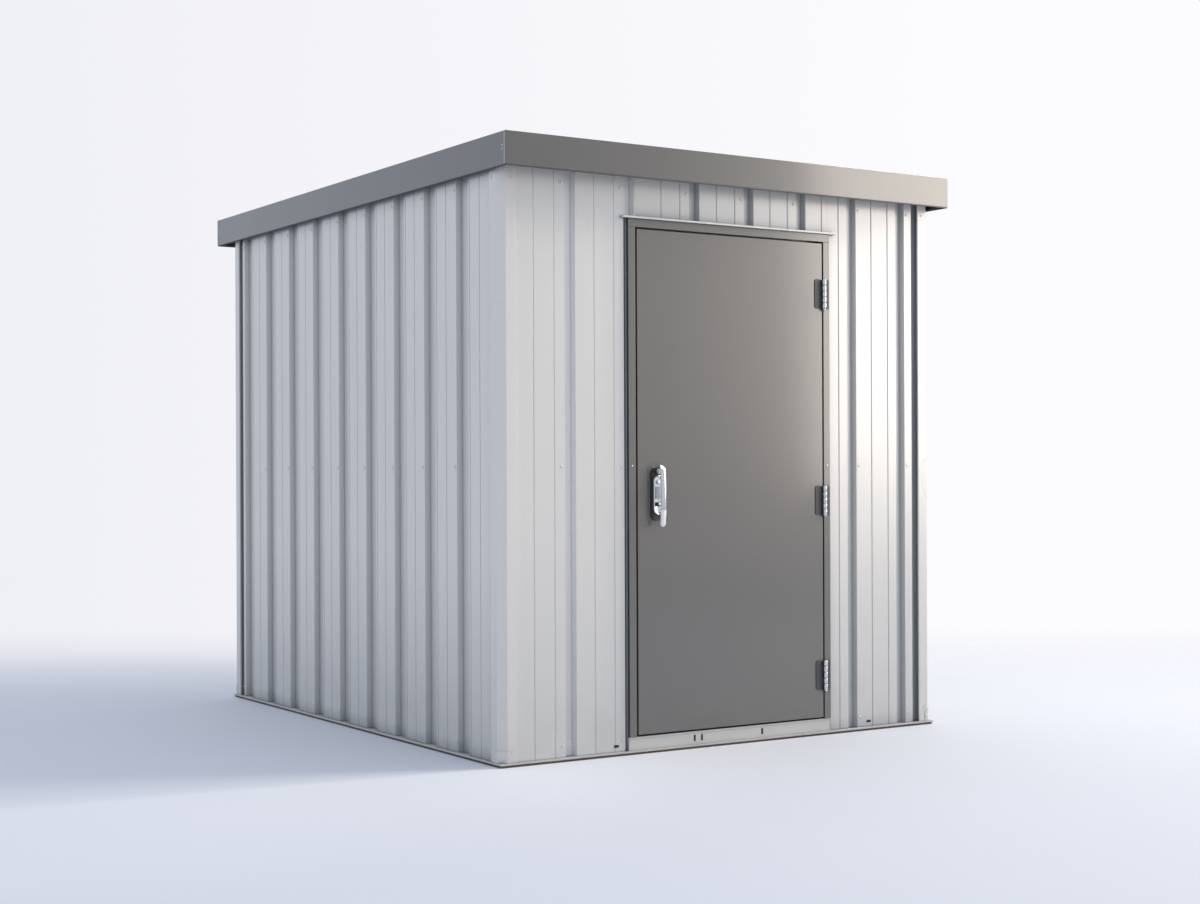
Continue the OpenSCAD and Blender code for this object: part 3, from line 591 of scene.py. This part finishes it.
def side_fascia(name, sign):
    """The side fascia as one folded sheet, set in so that its rivets stay in line with the corner folds."""
    lo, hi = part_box(name)
    t, lip, ret = 2 * MM, 16 * MM, 25 * MM
    outer = (hi.x if sign > 0 else lo.x) - sign * FASCIA_INSET * MM
    fold = 12.0 * MM
    front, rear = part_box("front_fascia")[0].y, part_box("rear_fascia")[1].y

    def slab(depth, z0, z1, y0, y1):
        bm = bmesh.new()
        inner = outer - sign * depth
        box(bm, (min(outer, inner), y0, z0), (max(outer, inner), y1, z1))
        mesh = bpy.data.meshes.new("slab")
        bmesh.ops.recalc_face_normals(bm, faces=bm.faces)
        bm.to_mesh(mesh)
        bm.free()
        obj = bpy.data.objects.new("slab", mesh)
        scene.collection.objects.link(obj)
        return obj

    body = slab(t, lo.z + 0.2 * MM, hi.z - 0.2 * MM, front + fold, rear - fold)
    extra = [slab(lip, lo.z, lo.z + t, front + ret, rear - ret),
             slab(ret, hi.z - t, hi.z, front + ret, rear - ret)]
    for other in extra:
        cut = body.modifiers.new("join", "BOOLEAN")
        cut.operation = "UNION"
        cut.object = other
    baked(body)
    for other in extra:
        bpy.data.objects.remove(other)
    body.name = name + "_sheet"
    body.data.name = body.name
    body.data.materials.clear()
    body.data.materials.append(MATERIALS["fascia_paint"])
    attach(body, "shed")
    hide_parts(name)
    ease(body, 0.7)

    rivets = bmesh.new()
    for y in (front + 26 * MM, rear - 26 * MM):
        for z in (hi.z - 50 * MM, hi.z - 63 * MM):
            rivet(rivets, spot((outer, y, z), (sign, 0, 0)), 3.4, RIVET_H)
    slot_piece(name + "_rivets", rivets, "shed", "chrome")


# ---- Door frame, seals and sill ----
def frame_seals():
    """Black rubber: a bulb seal on the door stops, and a gasket between the frame and the wall sheets, whose
    black also stands in for the shade along the frame's sides.
    """
    left, right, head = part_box("left_jamb"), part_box("right_jamb"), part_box("door_head")
    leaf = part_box("door_leaf")
    stop_y = leaf[1].y + 5 * MM
    seal = bmesh.new()
    y0, y1 = leaf[1].y + 0.6 * MM, stop_y + 0.2 * MM
    inset = 3 * MM
    x0, x1 = leaf[0].x + inset, leaf[1].x - inset
    top = leaf[1].z - inset
    box(seal, (x0, y0, leaf[0].z), (x0 + 9 * MM, y1, top))
    box(seal, (x1 - 9 * MM, y0, leaf[0].z), (x1, y1, top))
    box(seal, (x0 + 9.5 * MM, y0, top - 9 * MM), (x1 - 9.5 * MM, y1, top))
    obj = piece("door_seal", seal, "shed", RUBBER)
    ease(obj, 1.6, 3, weld=False)

    # Painted shade in part: the black gasket also covers the jamb's shaded side face.
    gasket = bmesh.new()
    wide, back, deep = 0.9 * MM, 3.0 * MM, 10 * MM
    face = left[0].y
    for x_out, sign in ((left[0].x, -1), (right[1].x, 1)):
        xs = sorted((x_out, x_out + sign * wide))
        box(gasket, (xs[0], face + back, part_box("door_sill")[1].z), (xs[1], face + deep, head[1].z))
    obj = piece("frame_gasket", gasket, "shed", RUBBER)
    ease(obj, 0.8, 2, weld=False)


def frame_screws():
    """One bright screw on each jamb at the height of the mid-wall rails."""
    girt_z = sum(b.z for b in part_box("left_girt")) / 2
    bm = bmesh.new()
    for name in ("left_jamb", "right_jamb"):
        lo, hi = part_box(name)
        outer = lo.x if lo.x < 0 else hi.x
        x = outer + (14 * MM if lo.x < 0 else -14 * MM)
        pan_screw(bm, spot((x, lo.y, girt_z), FRONT), 3.6)
    slot_piece("frame_screws", bm, "shed", "chrome")


def weep_slots():
    """Small dark drain plugs low on the front sheets and in the sill's apron."""
    bm = bmesh.new()
    for name, share in (("front_wall_left", 0.83), ("front_wall_right", 0.41)):
        lo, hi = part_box(name)
        place = spot((lo.x + share * (hi.x - lo.x), lo.y, lo.z + 22 * MM), FRONT)
        plate(bm, place, [(rounded(24, 10, 4.9), -0.4), (rounded(24, 10, 4.9), 0.3),
                          (rounded(22, 8, 3.9), 0.8), (rounded(18, 4, 1.9), 0.3)])
    lo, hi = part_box("door_sill")
    y = lo.y + 2 * MM
    for share in (0.31, 0.345, 0.645):
        place = spot((lo.x + share * (hi.x - lo.x), y, lo.z + 26 * MM), FRONT)
        plate(bm, place, [(rounded(9, 26, 4.2), -0.4), (rounded(9, 26, 4.2), 0.2), (rounded(8, 25, 3.7), 0.6),
                          (rounded(5, 21, 2.3), 0.1)])
    piece("drain_plugs", bm, "shed", RUBBER)


def sill_end_caps():
    """Light caps on the open ends of the sill, in front of the wall sheets."""
    bm = bmesh.new()
    lo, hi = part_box("door_sill")
    wall_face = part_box("front_wall_left")[0].y
    for x_out, sign in ((lo.x, -1), (hi.x, 1)):
        xs = sorted((x_out - sign * 0.2 * MM, x_out + sign * 1.6 * MM))
        box(bm, (xs[0], lo.y + 0.4 * MM, lo.z + 0.5 * MM), (xs[1], wall_face - 0.2 * MM, hi.z - 0.5 * MM))
    obj = piece("sill_end_caps", bm, "shed", SILL_PAINT)
    ease(obj, 0.5, 2, weld=False)


def frame_return():
    """Light return down the left jamb, where the front sheet's last valley meets the door frame."""
    bm = bmesh.new()
    jamb, sheet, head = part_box("left_jamb"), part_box("front_wall_left"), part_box("door_head")
    x_out, back = jamb[0].x, sheet[1].y - 1.6 * MM
    box(bm, (x_out - 1.6 * MM, sheet[0].y, sheet[0].z + 1 * MM), (x_out + 0.2 * MM, back, head[1].z))
    obj = slot_piece("frame_return", bm, "shed", "trim_paint")
    ease(obj, 0.5, 2, weld=False)


def floor_panels():
    """Three film-faced panels with tight joints, screwed down over the joists."""
    lo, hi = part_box("floor_board")
    joists = [(a + b) / 2 for a, b in lumps("floor_joists", 1)]
    notch, joint = 5 * MM, 1 * MM
    third = (hi.y - lo.y) / 3
    bm = bmesh.new()
    for i in range(3):
        y0 = lo.y + i * third + (joint if i else 0)
        y1 = lo.y + (i + 1) * third - (joint if i < 2 else 0)
        ends = (notch if i == 0 else 0, notch if i == 2 else 0)
        outline = [(lo.x + notch, y0), (hi.x - notch, y0), (hi.x - notch, y0 + ends[0]), (hi.x, y0 + ends[0]),
                   (hi.x, y1 - ends[1]), (hi.x - notch, y1 - ends[1]), (hi.x - notch, y1), (lo.x + notch, y1),
                   (lo.x + notch, y1 - ends[1]), (lo.x, y1 - ends[1]), (lo.x, y0 + ends[0]),
                   (lo.x + notch, y0 + ends[0])]
        points = [p for k, p in enumerate(outline) if p not in outline[:k]]
        if i == 1:
            points = [(lo.x, y0), (hi.x, y0), (hi.x, y1), (lo.x, y1)]
        skin(bm, [[bm.verts.new((x, y, z)) for x, y in points] for z in (lo.z, hi.z)])
    panels = slot_piece("floor_panels", bm, "shed", "floor_wood")
    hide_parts("floor_board")
    ease(panels, 0.6, 2, weld=False)

    screws = bmesh.new()
    for y in joists:
        for i in range(7):
            x = lo.x + 0.06 + i * (hi.x - lo.x - 0.12) / 6
            lathe(screws, spot((x, y, hi.z), (0, 0, 1), (0, 1, 0)),
                  [(0, -0.6), (4.4, -0.6), (4.4, 0.15), (4.1, 0.3), (1.6, 0.3), (1.4, -0.3), (0, -0.3)], 16)
    slot_piece("floor_screws", screws, "shed", "galvanised_steel")


# ---- Hinges ----
BARREL_R, PIN_R, KNUCKLES, PLATE_T = 9.0, 3.5, 5, 3.0


def open_tube(bm, place, z0, z1):
    """A knuckle as a closed ring, bored right through."""
    r, e, bore = BARREL_R, 2.6, PIN_R + 0.1
    profile = [(bore, z0), (r - 2.2, z0), (r - 0.7, z0 + 0.8), (r, z0 + e),
               (r, z1 - e), (r - 0.7, z1 - 0.8), (r - 2.2, z1), (bore, z1)]
    sides = 40
    angles = [2 * math.pi * i / sides for i in range(sides)]
    rings = [[bm.verts.new(place @ (Vector((q * math.cos(a), q * math.sin(a), h)) * MM)) for a in angles]
             for q, h in profile]
    for a, b in zip(rings, rings[1:] + rings[:1]):
        for i in range(sides):
            j = (i + 1) % sides
            bm.faces.new((a[i], a[j], b[j], b[i]))


def hinge_strap(bm, axis, sign, z0, z1, face_y):
    """The curl that leads from a knuckle to its plate, on the side named by sign."""
    x_out = sign * (BARREL_R + 1.2)
    inner = sign * (BARREL_R * 0.72)
    back = (face_y - axis.y) / MM
    front = back - PLATE_T
    outline = [(inner, -1.0), (sign * BARREL_R * 0.93, -1.0), (sign * (BARREL_R * 0.98), front - 1.5),
               (x_out, front), (x_out, back), (sign * 4.5, back), (sign * 5.2, BARREL_R * 0.55)]
    place = Matrix.Translation((axis.x, axis.y, 0))
    loft(bm, place, [[(x, y, z) for x, y in outline] for z in (z0, z1)])


def hinges():
    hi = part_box("hinge_frame_leaves")[1]
    door_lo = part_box("hinge_door_leaves")[0]
    swing = next(j for j in frame["joints"] if j["child"] == "door")
    axis = Vector(swing["pos_m"])
    face_y = hi.y
    metal, turning, fixed, straps_door = bmesh.new(), bmesh.new(), bmesh.new(), bmesh.new()
    plate_x0, plate_x1 = door_lo.x, axis.x - (BARREL_R + 0.5) * MM
    frame_x0 = axis.x + (BARREL_R + 0.5) * MM
    for z_lo, z_hi in lumps("hinge_door_leaves", 2):
        mid, length = (z_lo + z_hi) / 2, (z_hi - z_lo) / MM
        step = length / KNUCKLES
        place = Matrix.Translation((axis.x, axis.y, mid))
        for i in range(KNUCKLES):
            z0 = -length / 2 + i * step + (0.5 if i else 0)
            z1 = -length / 2 + (i + 1) * step - (0.5 if i < KNUCKLES - 1 else 0)
            bm = turning if i % 2 else metal
            open_tube(bm, place, z0, z1)
            sign = -1 if i % 2 else 1
            strap = straps_door if i % 2 else fixed
            hinge_strap(strap, axis, sign, mid / MM + z0 + 0.3, mid / MM + z1 - 0.3, face_y)
        lathe(metal, place, [(0, -length / 2 - 8.6), (3.6, -length / 2 - 7.9), (6.2, -length / 2 - 5.6),
                             (7.0, -length / 2 - 3.0), (6.0, -length / 2 - 0.9), (PIN_R, -length / 2 - 0.2),
                             (PIN_R, length / 2 - 0.3), (0, length / 2 - 0.3)], 24)
        width = (plate_x1 - plate_x0) / MM
        where = spot(((plate_x0 + plate_x1) / 2, face_y, mid), FRONT)
        outer = [(x if x < 0 else min(x, width / 2), y) for x, y in rounded(width, length, 9)]
        inner = [(x * 0.975, y * 0.993) for x, y in outer]
        plate(straps_door, where, [(outer, 0), (outer, PLATE_T - 0.7), (inner, PLATE_T)])
        for share in (-0.36, 0, 0.36):
            at = (plate_x0 + 14 * MM, face_y - PLATE_T * MM, mid + share * length * MM)
            lathe(straps_door, spot(at, FRONT),
                  [(0, -0.6), (4, -0.6), (4, 0.12), (3.6, 0.3), (1.5, 0.3), (1.3, -0.4), (0, -0.4)], 18)
        width = (hi.x - frame_x0) / MM
        where = spot(((frame_x0 + hi.x) / 2, face_y, mid), FRONT)
        outer = rounded(width, length, 3)
        inner = [(x * 0.965, y * 0.993) for x, y in outer]
        plate(fixed, where, [(outer, 0), (outer, PLATE_T - 0.7), (inner, PLATE_T)])
    slot_piece("hinge_barrels_frame", metal, "shed", "chrome")
    slot_piece("hinge_barrels_door", turning, "door", "chrome")
    plates = piece("hinge_plates_frame", fixed, "shed", HINGE_DARK)
    leaves = piece("hinge_plates_door", straps_door, "door", HINGE_DARK)
    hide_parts("hinge_frame_leaves")
    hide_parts("hinge_door_leaves")


# ---- Handle ----
def slot_shape(width, length):
    return rounded(width, length, width / 2 - 0.01, 10)


def handle_dish():
    """Chrome dish with a rolled rim, ridges in its pocket, a round stud above and the lock below."""
    lo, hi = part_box("handle_dish")
    width, length, deep = (hi.x - lo.x) / MM, (hi.z - lo.z) / MM, (hi.y - lo.y) / MM
    mid = Vector(((lo.x + hi.x) / 2, hi.y, (lo.z + hi.z) / 2))
    place = spot(mid, FRONT)
    rim = [(0, 0), (0, deep - 3), (0.5, deep - 1.4), (1.6, deep - 0.4), (2.8, deep), (4, deep - 0.5),
           (4.9, deep - 1.8), (5.4, deep - 4.5), (6.2, deep - 6.4), (7.6, deep - 7)]
    bm = bmesh.new()
    plate(bm, place, [(slot_shape(width - 2 * inset, length - 2 * inset), h) for inset, h in rim])
    floor_h = deep - 7
    for i in range(-3, 4):
        ridge = rounded(2.0, 46, 0.98)
        inner = rounded(1.0, 45, 0.48)
        plate(bm, place @ Matrix.Translation((i * 3.5 * MM, 9 * MM, 0)),
              [(ridge, floor_h - 0.5), (ridge, floor_h + 1.0), (inner, floor_h + 1.7)])
    stud = place @ Matrix.Translation((0, (length / 2 - width / 2 - 5) * MM, 0))
    lathe(bm, stud, [(0, floor_h - 0.5), (8.6, floor_h - 0.5), (8.6, floor_h + 1.6), (7.8, floor_h + 2.6),
                     (4.4, floor_h + 3.2), (4.0, floor_h + 2.2), (0, floor_h + 2.2)], 32)
    dish = slot_piece("handle_dish_shell", bm, "door", "chrome", 35)
    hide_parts("handle_dish")


def lock():
    """Dark lock cylinder with a key slot in a bright plug."""
    lo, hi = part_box("lock_cylinder")
    centre = Vector(((lo.x + hi.x) / 2, hi.y, (lo.z + hi.z) / 2))
    r, deep = (hi.x - lo.x) / 2 / MM, (hi.y - lo.y) / MM
    place = spot(centre, FRONT)
    body = bmesh.new()
    lathe(body, place, [(0, 0), (r, 0), (r, deep - 1.2), (r - 0.9, deep - 0.2), (r - 2.2, deep),
                        (r - 2.7, deep - 0.9), (0, deep - 0.9)], 32)
    shell = slot_piece("lock_shell", body, "door", "lock_black")
    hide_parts("lock_cylinder")
    plug = bmesh.new()
    lathe(plug, place, [(0, deep - 1.4), (r - 3.1, deep - 1.4), (r - 3.1, deep - 0.5), (r - 3.6, deep - 0.1),
                        (0, deep - 0.1)], 28)
    slot_piece("lock_plug", plug, "door", "chrome")
    key = bmesh.new()
    plate(key, place, [(rounded(1.4, 6, 0.6), deep - 1), (rounded(1.4, 6, 0.6), deep + 0.02)])
    slot_piece("lock_keyway", key, "door", "lock_black")


# Lever in millimetres: radius of its bow, length and set-back of its bent top, and its boss
BOW_R = 900.0
CROOK = 24.0
CROOK_IN = 17.0
BOSS_R = 10.0


def lever_ring(z, out, width, thick, tilt, sides=28):
    """A crowned section of the lever, across its run: width along X, thickness along the way out."""
    ring = []
    for i in range(sides):
        a = 2 * math.pi * i / sides
        c, s = math.cos(a), math.sin(a)
        x = width / 2 * math.copysign(abs(c) ** 0.62, c)
        t = thick / 2 * math.copysign(abs(s) ** 0.80, s)
        ring.append((x, -(out + t * math.cos(tilt)), z + t * math.sin(tilt)))
    return ring


def lever_width(share):
    """Width of the lever from its top (0) to its free end (1), as a share of the widest."""
    waist = 0.88
    if share < 0.1:
        return 1.0
    if share < 0.45:
        return 1.0 - (1 - waist) * math.sin(math.pi / 2 * (share - 0.1) / 0.35) ** 2
    return waist + (1 - waist) * math.sin(math.pi / 2 * min(1, (share - 0.45) / 0.35)) ** 2


def lever_bar(z_top, z_end, z_from, z_to, out_mid, width, thick, grow=0.0):
    """Rings of the bowed bar between two heights over the pivot, rounded at the lever's own ends."""
    middle = (z_top + z_end) / 2
    length = z_top - z_end
    rings, count = [], 64
    for i in range(count + 1):
        z = z_from + (z_to - z_from) * i / count
        share = (z_top - z) / length
        w = width * lever_width(share)
        near = min(z_top - z, z - z_end)
        r = w / 2
        if near < r:
            w *= math.sqrt(max(1e-4, 1 - (1 - near / r) ** 2))
        t = thick * (0.55 + 0.45 * math.sqrt(max(0.0, min(1.0, near / 9))))
        drop = (z - middle) ** 2 / (2 * BOW_R)
        tilt = (z - middle) / BOW_R
        crook = max(0.0, z - (z_top - CROOK)) / CROOK
        drop += CROOK_IN * crook ** 2
        tilt += 0.95 * crook
        rings.append(lever_ring(z, out_mid - drop, w + 2 * grow, t + 2 * grow, tilt))
    return rings


def handle_lever():
    """The lever, neck and boss fused into one casting, a satin grip end, and the spindle through the leaf."""
    lo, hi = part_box("handle_lever")
    turn = next(j for j in frame["joints"] if j["child"] == "handle")
    pivot = Vector(turn["pos_m"])
    place = Matrix.Translation(pivot)
    z_top, z_end = (hi.z - pivot.z) / MM, (lo.z - pivot.z) / MM
    width, thick = (hi.x - lo.x) / MM, 9.0
    out_max = (pivot.y - lo.y) / MM
    out_mid = out_max - thick / 2
    seam = z_end + 0.27 * (z_top - z_end)
    boss = spot(pivot, FRONT)

    casting = bmesh.new()
    loft(casting, place, lever_bar(z_top, z_end, z_top - 0.05, seam - 3, out_mid, width - 0.6, thick - 0.6))
    lathe(casting, boss, [(0, 8.3), (BOSS_R - 0.6, 8.3), (BOSS_R, 9), (BOSS_R, 18.6),
                          (BOSS_R - 1, 20.2), (0, 20.6)], 36)
    neck = [(11, 0, 17, 15), (13, 4, 17.5, 14), (16, 8, 18, 13), (20, 12, 19, 12), (25, 15, 20, 11.5),
            (31, 16, 20.5, 11), (38, 14, 21, 10)]
    rings = []
    for k, (out, z, w, t) in enumerate(neck):
        a, b = neck[max(0, k - 1)], neck[min(len(neck) - 1, k + 1)]
        along = math.atan2(b[1] - a[1], b[0] - a[0])
        ring = []
        for i in range(28):
            q = 2 * math.pi * i / 28
            side = w / 2 * math.copysign(abs(math.cos(q)) ** 0.8, math.cos(q))
            up = t / 2 * math.copysign(abs(math.sin(q)) ** 0.8, math.sin(q))
            ring.append((side, -(out - up * math.sin(along)), z + up * math.cos(along)))
        rings.append(ring)
    loft(casting, place, rings)
    lever = slot_piece("handle_lever_casting", casting, "handle", "chrome", 80)
    remesh = lever.modifiers.new("fuse", "REMESH")
    remesh.mode = "VOXEL"
    remesh.voxel_size = 0.8 * MM
    soften = lever.modifiers.new("soften", "SMOOTH")
    soften.factor, soften.iterations = 0.5, 10
    material = lever.data.materials[0]
    baked(lever)
    lever.data.materials.clear()
    lever.data.materials.append(material)
    lever.data.shade_smooth()
    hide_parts("handle_lever")

    grip = bmesh.new()
    loft(grip, place, lever_bar(z_top, z_end, seam, z_end + 0.02, out_mid, width, thick, -0.02))
    piece("handle_grip", grip, "handle", SATIN, 60)

    back = (hi.y - pivot.y) / MM
    spindle = bmesh.new()
    lathe(spindle, boss, [(0, -back + 7.5), (5.9, -back + 7.5), (5.9, 10), (0, 10)], 32)
    lathe(spindle, boss, [(0, -back), (5, -back), (BOSS_R - 1.4, -back + 0.8), (BOSS_R, -back + 2.4),
                          (BOSS_R, -back + 8), (0, -back + 8)], 40)
    slot_piece("handle_spindle", spindle, "handle", "chrome")


# ---- Stage ----
def studio_floor():
    """A pale floor that fades into the backdrop far behind the shed."""
    bpy.ops.mesh.primitive_circle_add(vertices=96, radius=40, fill_type="NGON")
    floor = bpy.context.object
    floor.name = "studio_floor"
    material = bpy.data.materials.new("studio_floor")
    material.use_nodes = True
    tree = material.node_tree
    tree.nodes.clear()
    out = tree.nodes.new("ShaderNodeOutputMaterial")
    where = add_node(tree, "ShaderNodeTexCoord").outputs["Object"]
    away = add_node(tree, "ShaderNodeVectorMath", {0: where, 1: (0.54, 0.84, 0.0)}, operation="DOT_PRODUCT")
    radius = add_node(tree, "ShaderNodeVectorMath", {0: where}, operation="LENGTH")
    ahead = add_node(tree, "ShaderNodeMapRange", {
        "Value": away.outputs["Value"], "From Min": 0.0, "From Max": 4.5}, interpolation_type="SMOOTHSTEP")
    around = add_node(tree, "ShaderNodeMapRange", {
        "Value": radius.outputs["Value"], "From Min": 7.0, "From Max": 20.0}, interpolation_type="SMOOTHSTEP")
    fade = add_node(tree, "ShaderNodeMath", {0: ahead.outputs[0], 1: around.outputs[0]}, operation="MAXIMUM")
    tint = mix(tree, noise(tree, 1.1, 3), (0.70, 0.735, 0.80), (0.73, 0.76, 0.82))
    body = add_node(tree, "ShaderNodeBsdfPrincipled", {"Base Color": tint, "Roughness": 0.7})
    clear = add_node(tree, "ShaderNodeBsdfTransparent")
    blend = add_node(tree, "ShaderNodeMixShader", {
        0: fade.outputs[0], 1: body.outputs[0], 2: clear.outputs[0]})
    tree.links.new(blend.outputs[0], out.inputs[0])
    floor.data.materials.append(material)


def backdrop():
    """A near-white backdrop for the eye, and a softer, cooler light from the same sky."""
    world = bpy.data.worlds.new("studio")
    scene.world = world
    world.use_nodes = True
    tree = world.node_tree
    tree.nodes.clear()
    out = tree.nodes.new("ShaderNodeOutputWorld")
    where = add_node(tree, "ShaderNodeTexCoord").outputs["Generated"]
    across = add_node(tree, "ShaderNodeVectorMath", {0: where, 1: (0.84, -0.54, 0.0)},
                      operation="DOT_PRODUCT")
    side = remap(tree, across.outputs["Value"], -0.32, 0.2, 0, 1)
    seen = mix(tree, side, (0.86, 0.865, 0.91), (0.975, 0.965, 0.99))
    up = add_node(tree, "ShaderNodeSeparateXYZ", {"Vector": where}).outputs["Z"]
    low = mix(tree, side, (0.78, 0.83, 0.93), (0.86, 0.845, 0.83))
    light = mix(tree, remap(tree, up, 0.1, 0.6, 0, 1), low, (0.73, 0.78, 0.89))
    eye = add_node(tree, "ShaderNodeBackground", {"Color": seen, "Strength": 1.0})
    sky = add_node(tree, "ShaderNodeBackground", {"Color": light, "Strength": 0.93})
    ray = add_node(tree, "ShaderNodeLightPath").outputs["Is Camera Ray"]
    blend = add_node(tree, "ShaderNodeMixShader", {0: ray, 1: sky.outputs[0], 2: eye.outputs[0]})
    tree.links.new(blend.outputs[0], out.inputs[0])


def area_light(name, at, target, size, watts, colour, diffuse=True):
    data = bpy.data.lights.new(name, "AREA")
    data.shape = "RECTANGLE"
    data.size, data.size_y = size
    data.energy, data.color = watts, colour
    obj = bpy.data.objects.new(name, data)
    scene.collection.objects.link(obj)
    obj.location = at
    obj.rotation_mode = "QUATERNION"
    obj.rotation_quaternion = (Vector(target) - Vector(at)).to_track_quat("-Z", "Y")
    obj.visible_diffuse = diffuse


def lights():
    """A soft key from the right, a warm panel that only glosses the paint, and a spot on the right corner."""
    away, up = Vector((0.84, -0.54)), math.radians(50)
    at = (9 * away.x * math.cos(up), 9 * away.y * math.cos(up), 9 * math.sin(up))
    area_light("key", at, (0, 0, 0.6), (2.2, 2.2), 385, (1.0, 0.90, 0.77))
    area_light("gloss_panel", (6.3, -5.6, 3.0), (0.6, -1.3, 1.9), (4.0, 4.2), 315, (1.0, 0.91, 0.82), False)
    data = bpy.data.lights.new("side", "SPOT")
    data.energy, data.color = 500, (1.0, 0.90, 0.78)
    data.spot_size, data.spot_blend = math.radians(34), 1.0
    data.shadow_soft_size = 0.22
    side = bpy.data.objects.new("side", data)
    scene.collection.objects.link(side)
    side.location = (4.6, -1.98, 3.3)
    side.rotation_mode = "QUATERNION"
    side.rotation_quaternion = (Vector((0.9, -1.3, 1.85)) - side.location).to_track_quat("-Z", "Y")


def camera():
    data = bpy.data.cameras.new("camera")
    data.sensor_width = 36
    data.lens = 55.32
    data.shift_y = 0.0146
    obj = bpy.data.objects.new("camera", data)
    scene.collection.objects.link(obj)
    obj.location = (-4.334, -7.110, 1.078)
    yaw, roll = math.radians(32.70), math.radians(-0.23)
    obj.rotation_euler = (Matrix.Rotation(-yaw, 3, "Z") @ Matrix.Rotation(math.pi / 2, 3, "X")
                          @ Matrix.Rotation(roll, 3, "Z")).to_euler()
    scene.camera = obj


def main():
    camera()
    backdrop()
    lights()
    studio_floor()
    finish_cad_nodes()
    wall_screws()
    post_and_cap_screws()
    roof_screws()
    fold_highlights()
    shade_strips()
    side_fascia("left_fascia", -1)
    side_fascia("right_fascia", 1)
    frame_seals()
    frame_screws()
    weep_slots()
    sill_end_caps()
    frame_return()
    floor_panels()
    hinges()
    handle_dish()
    lock()
    handle_lever()
    scene.view_settings.view_transform = "Standard"


main()
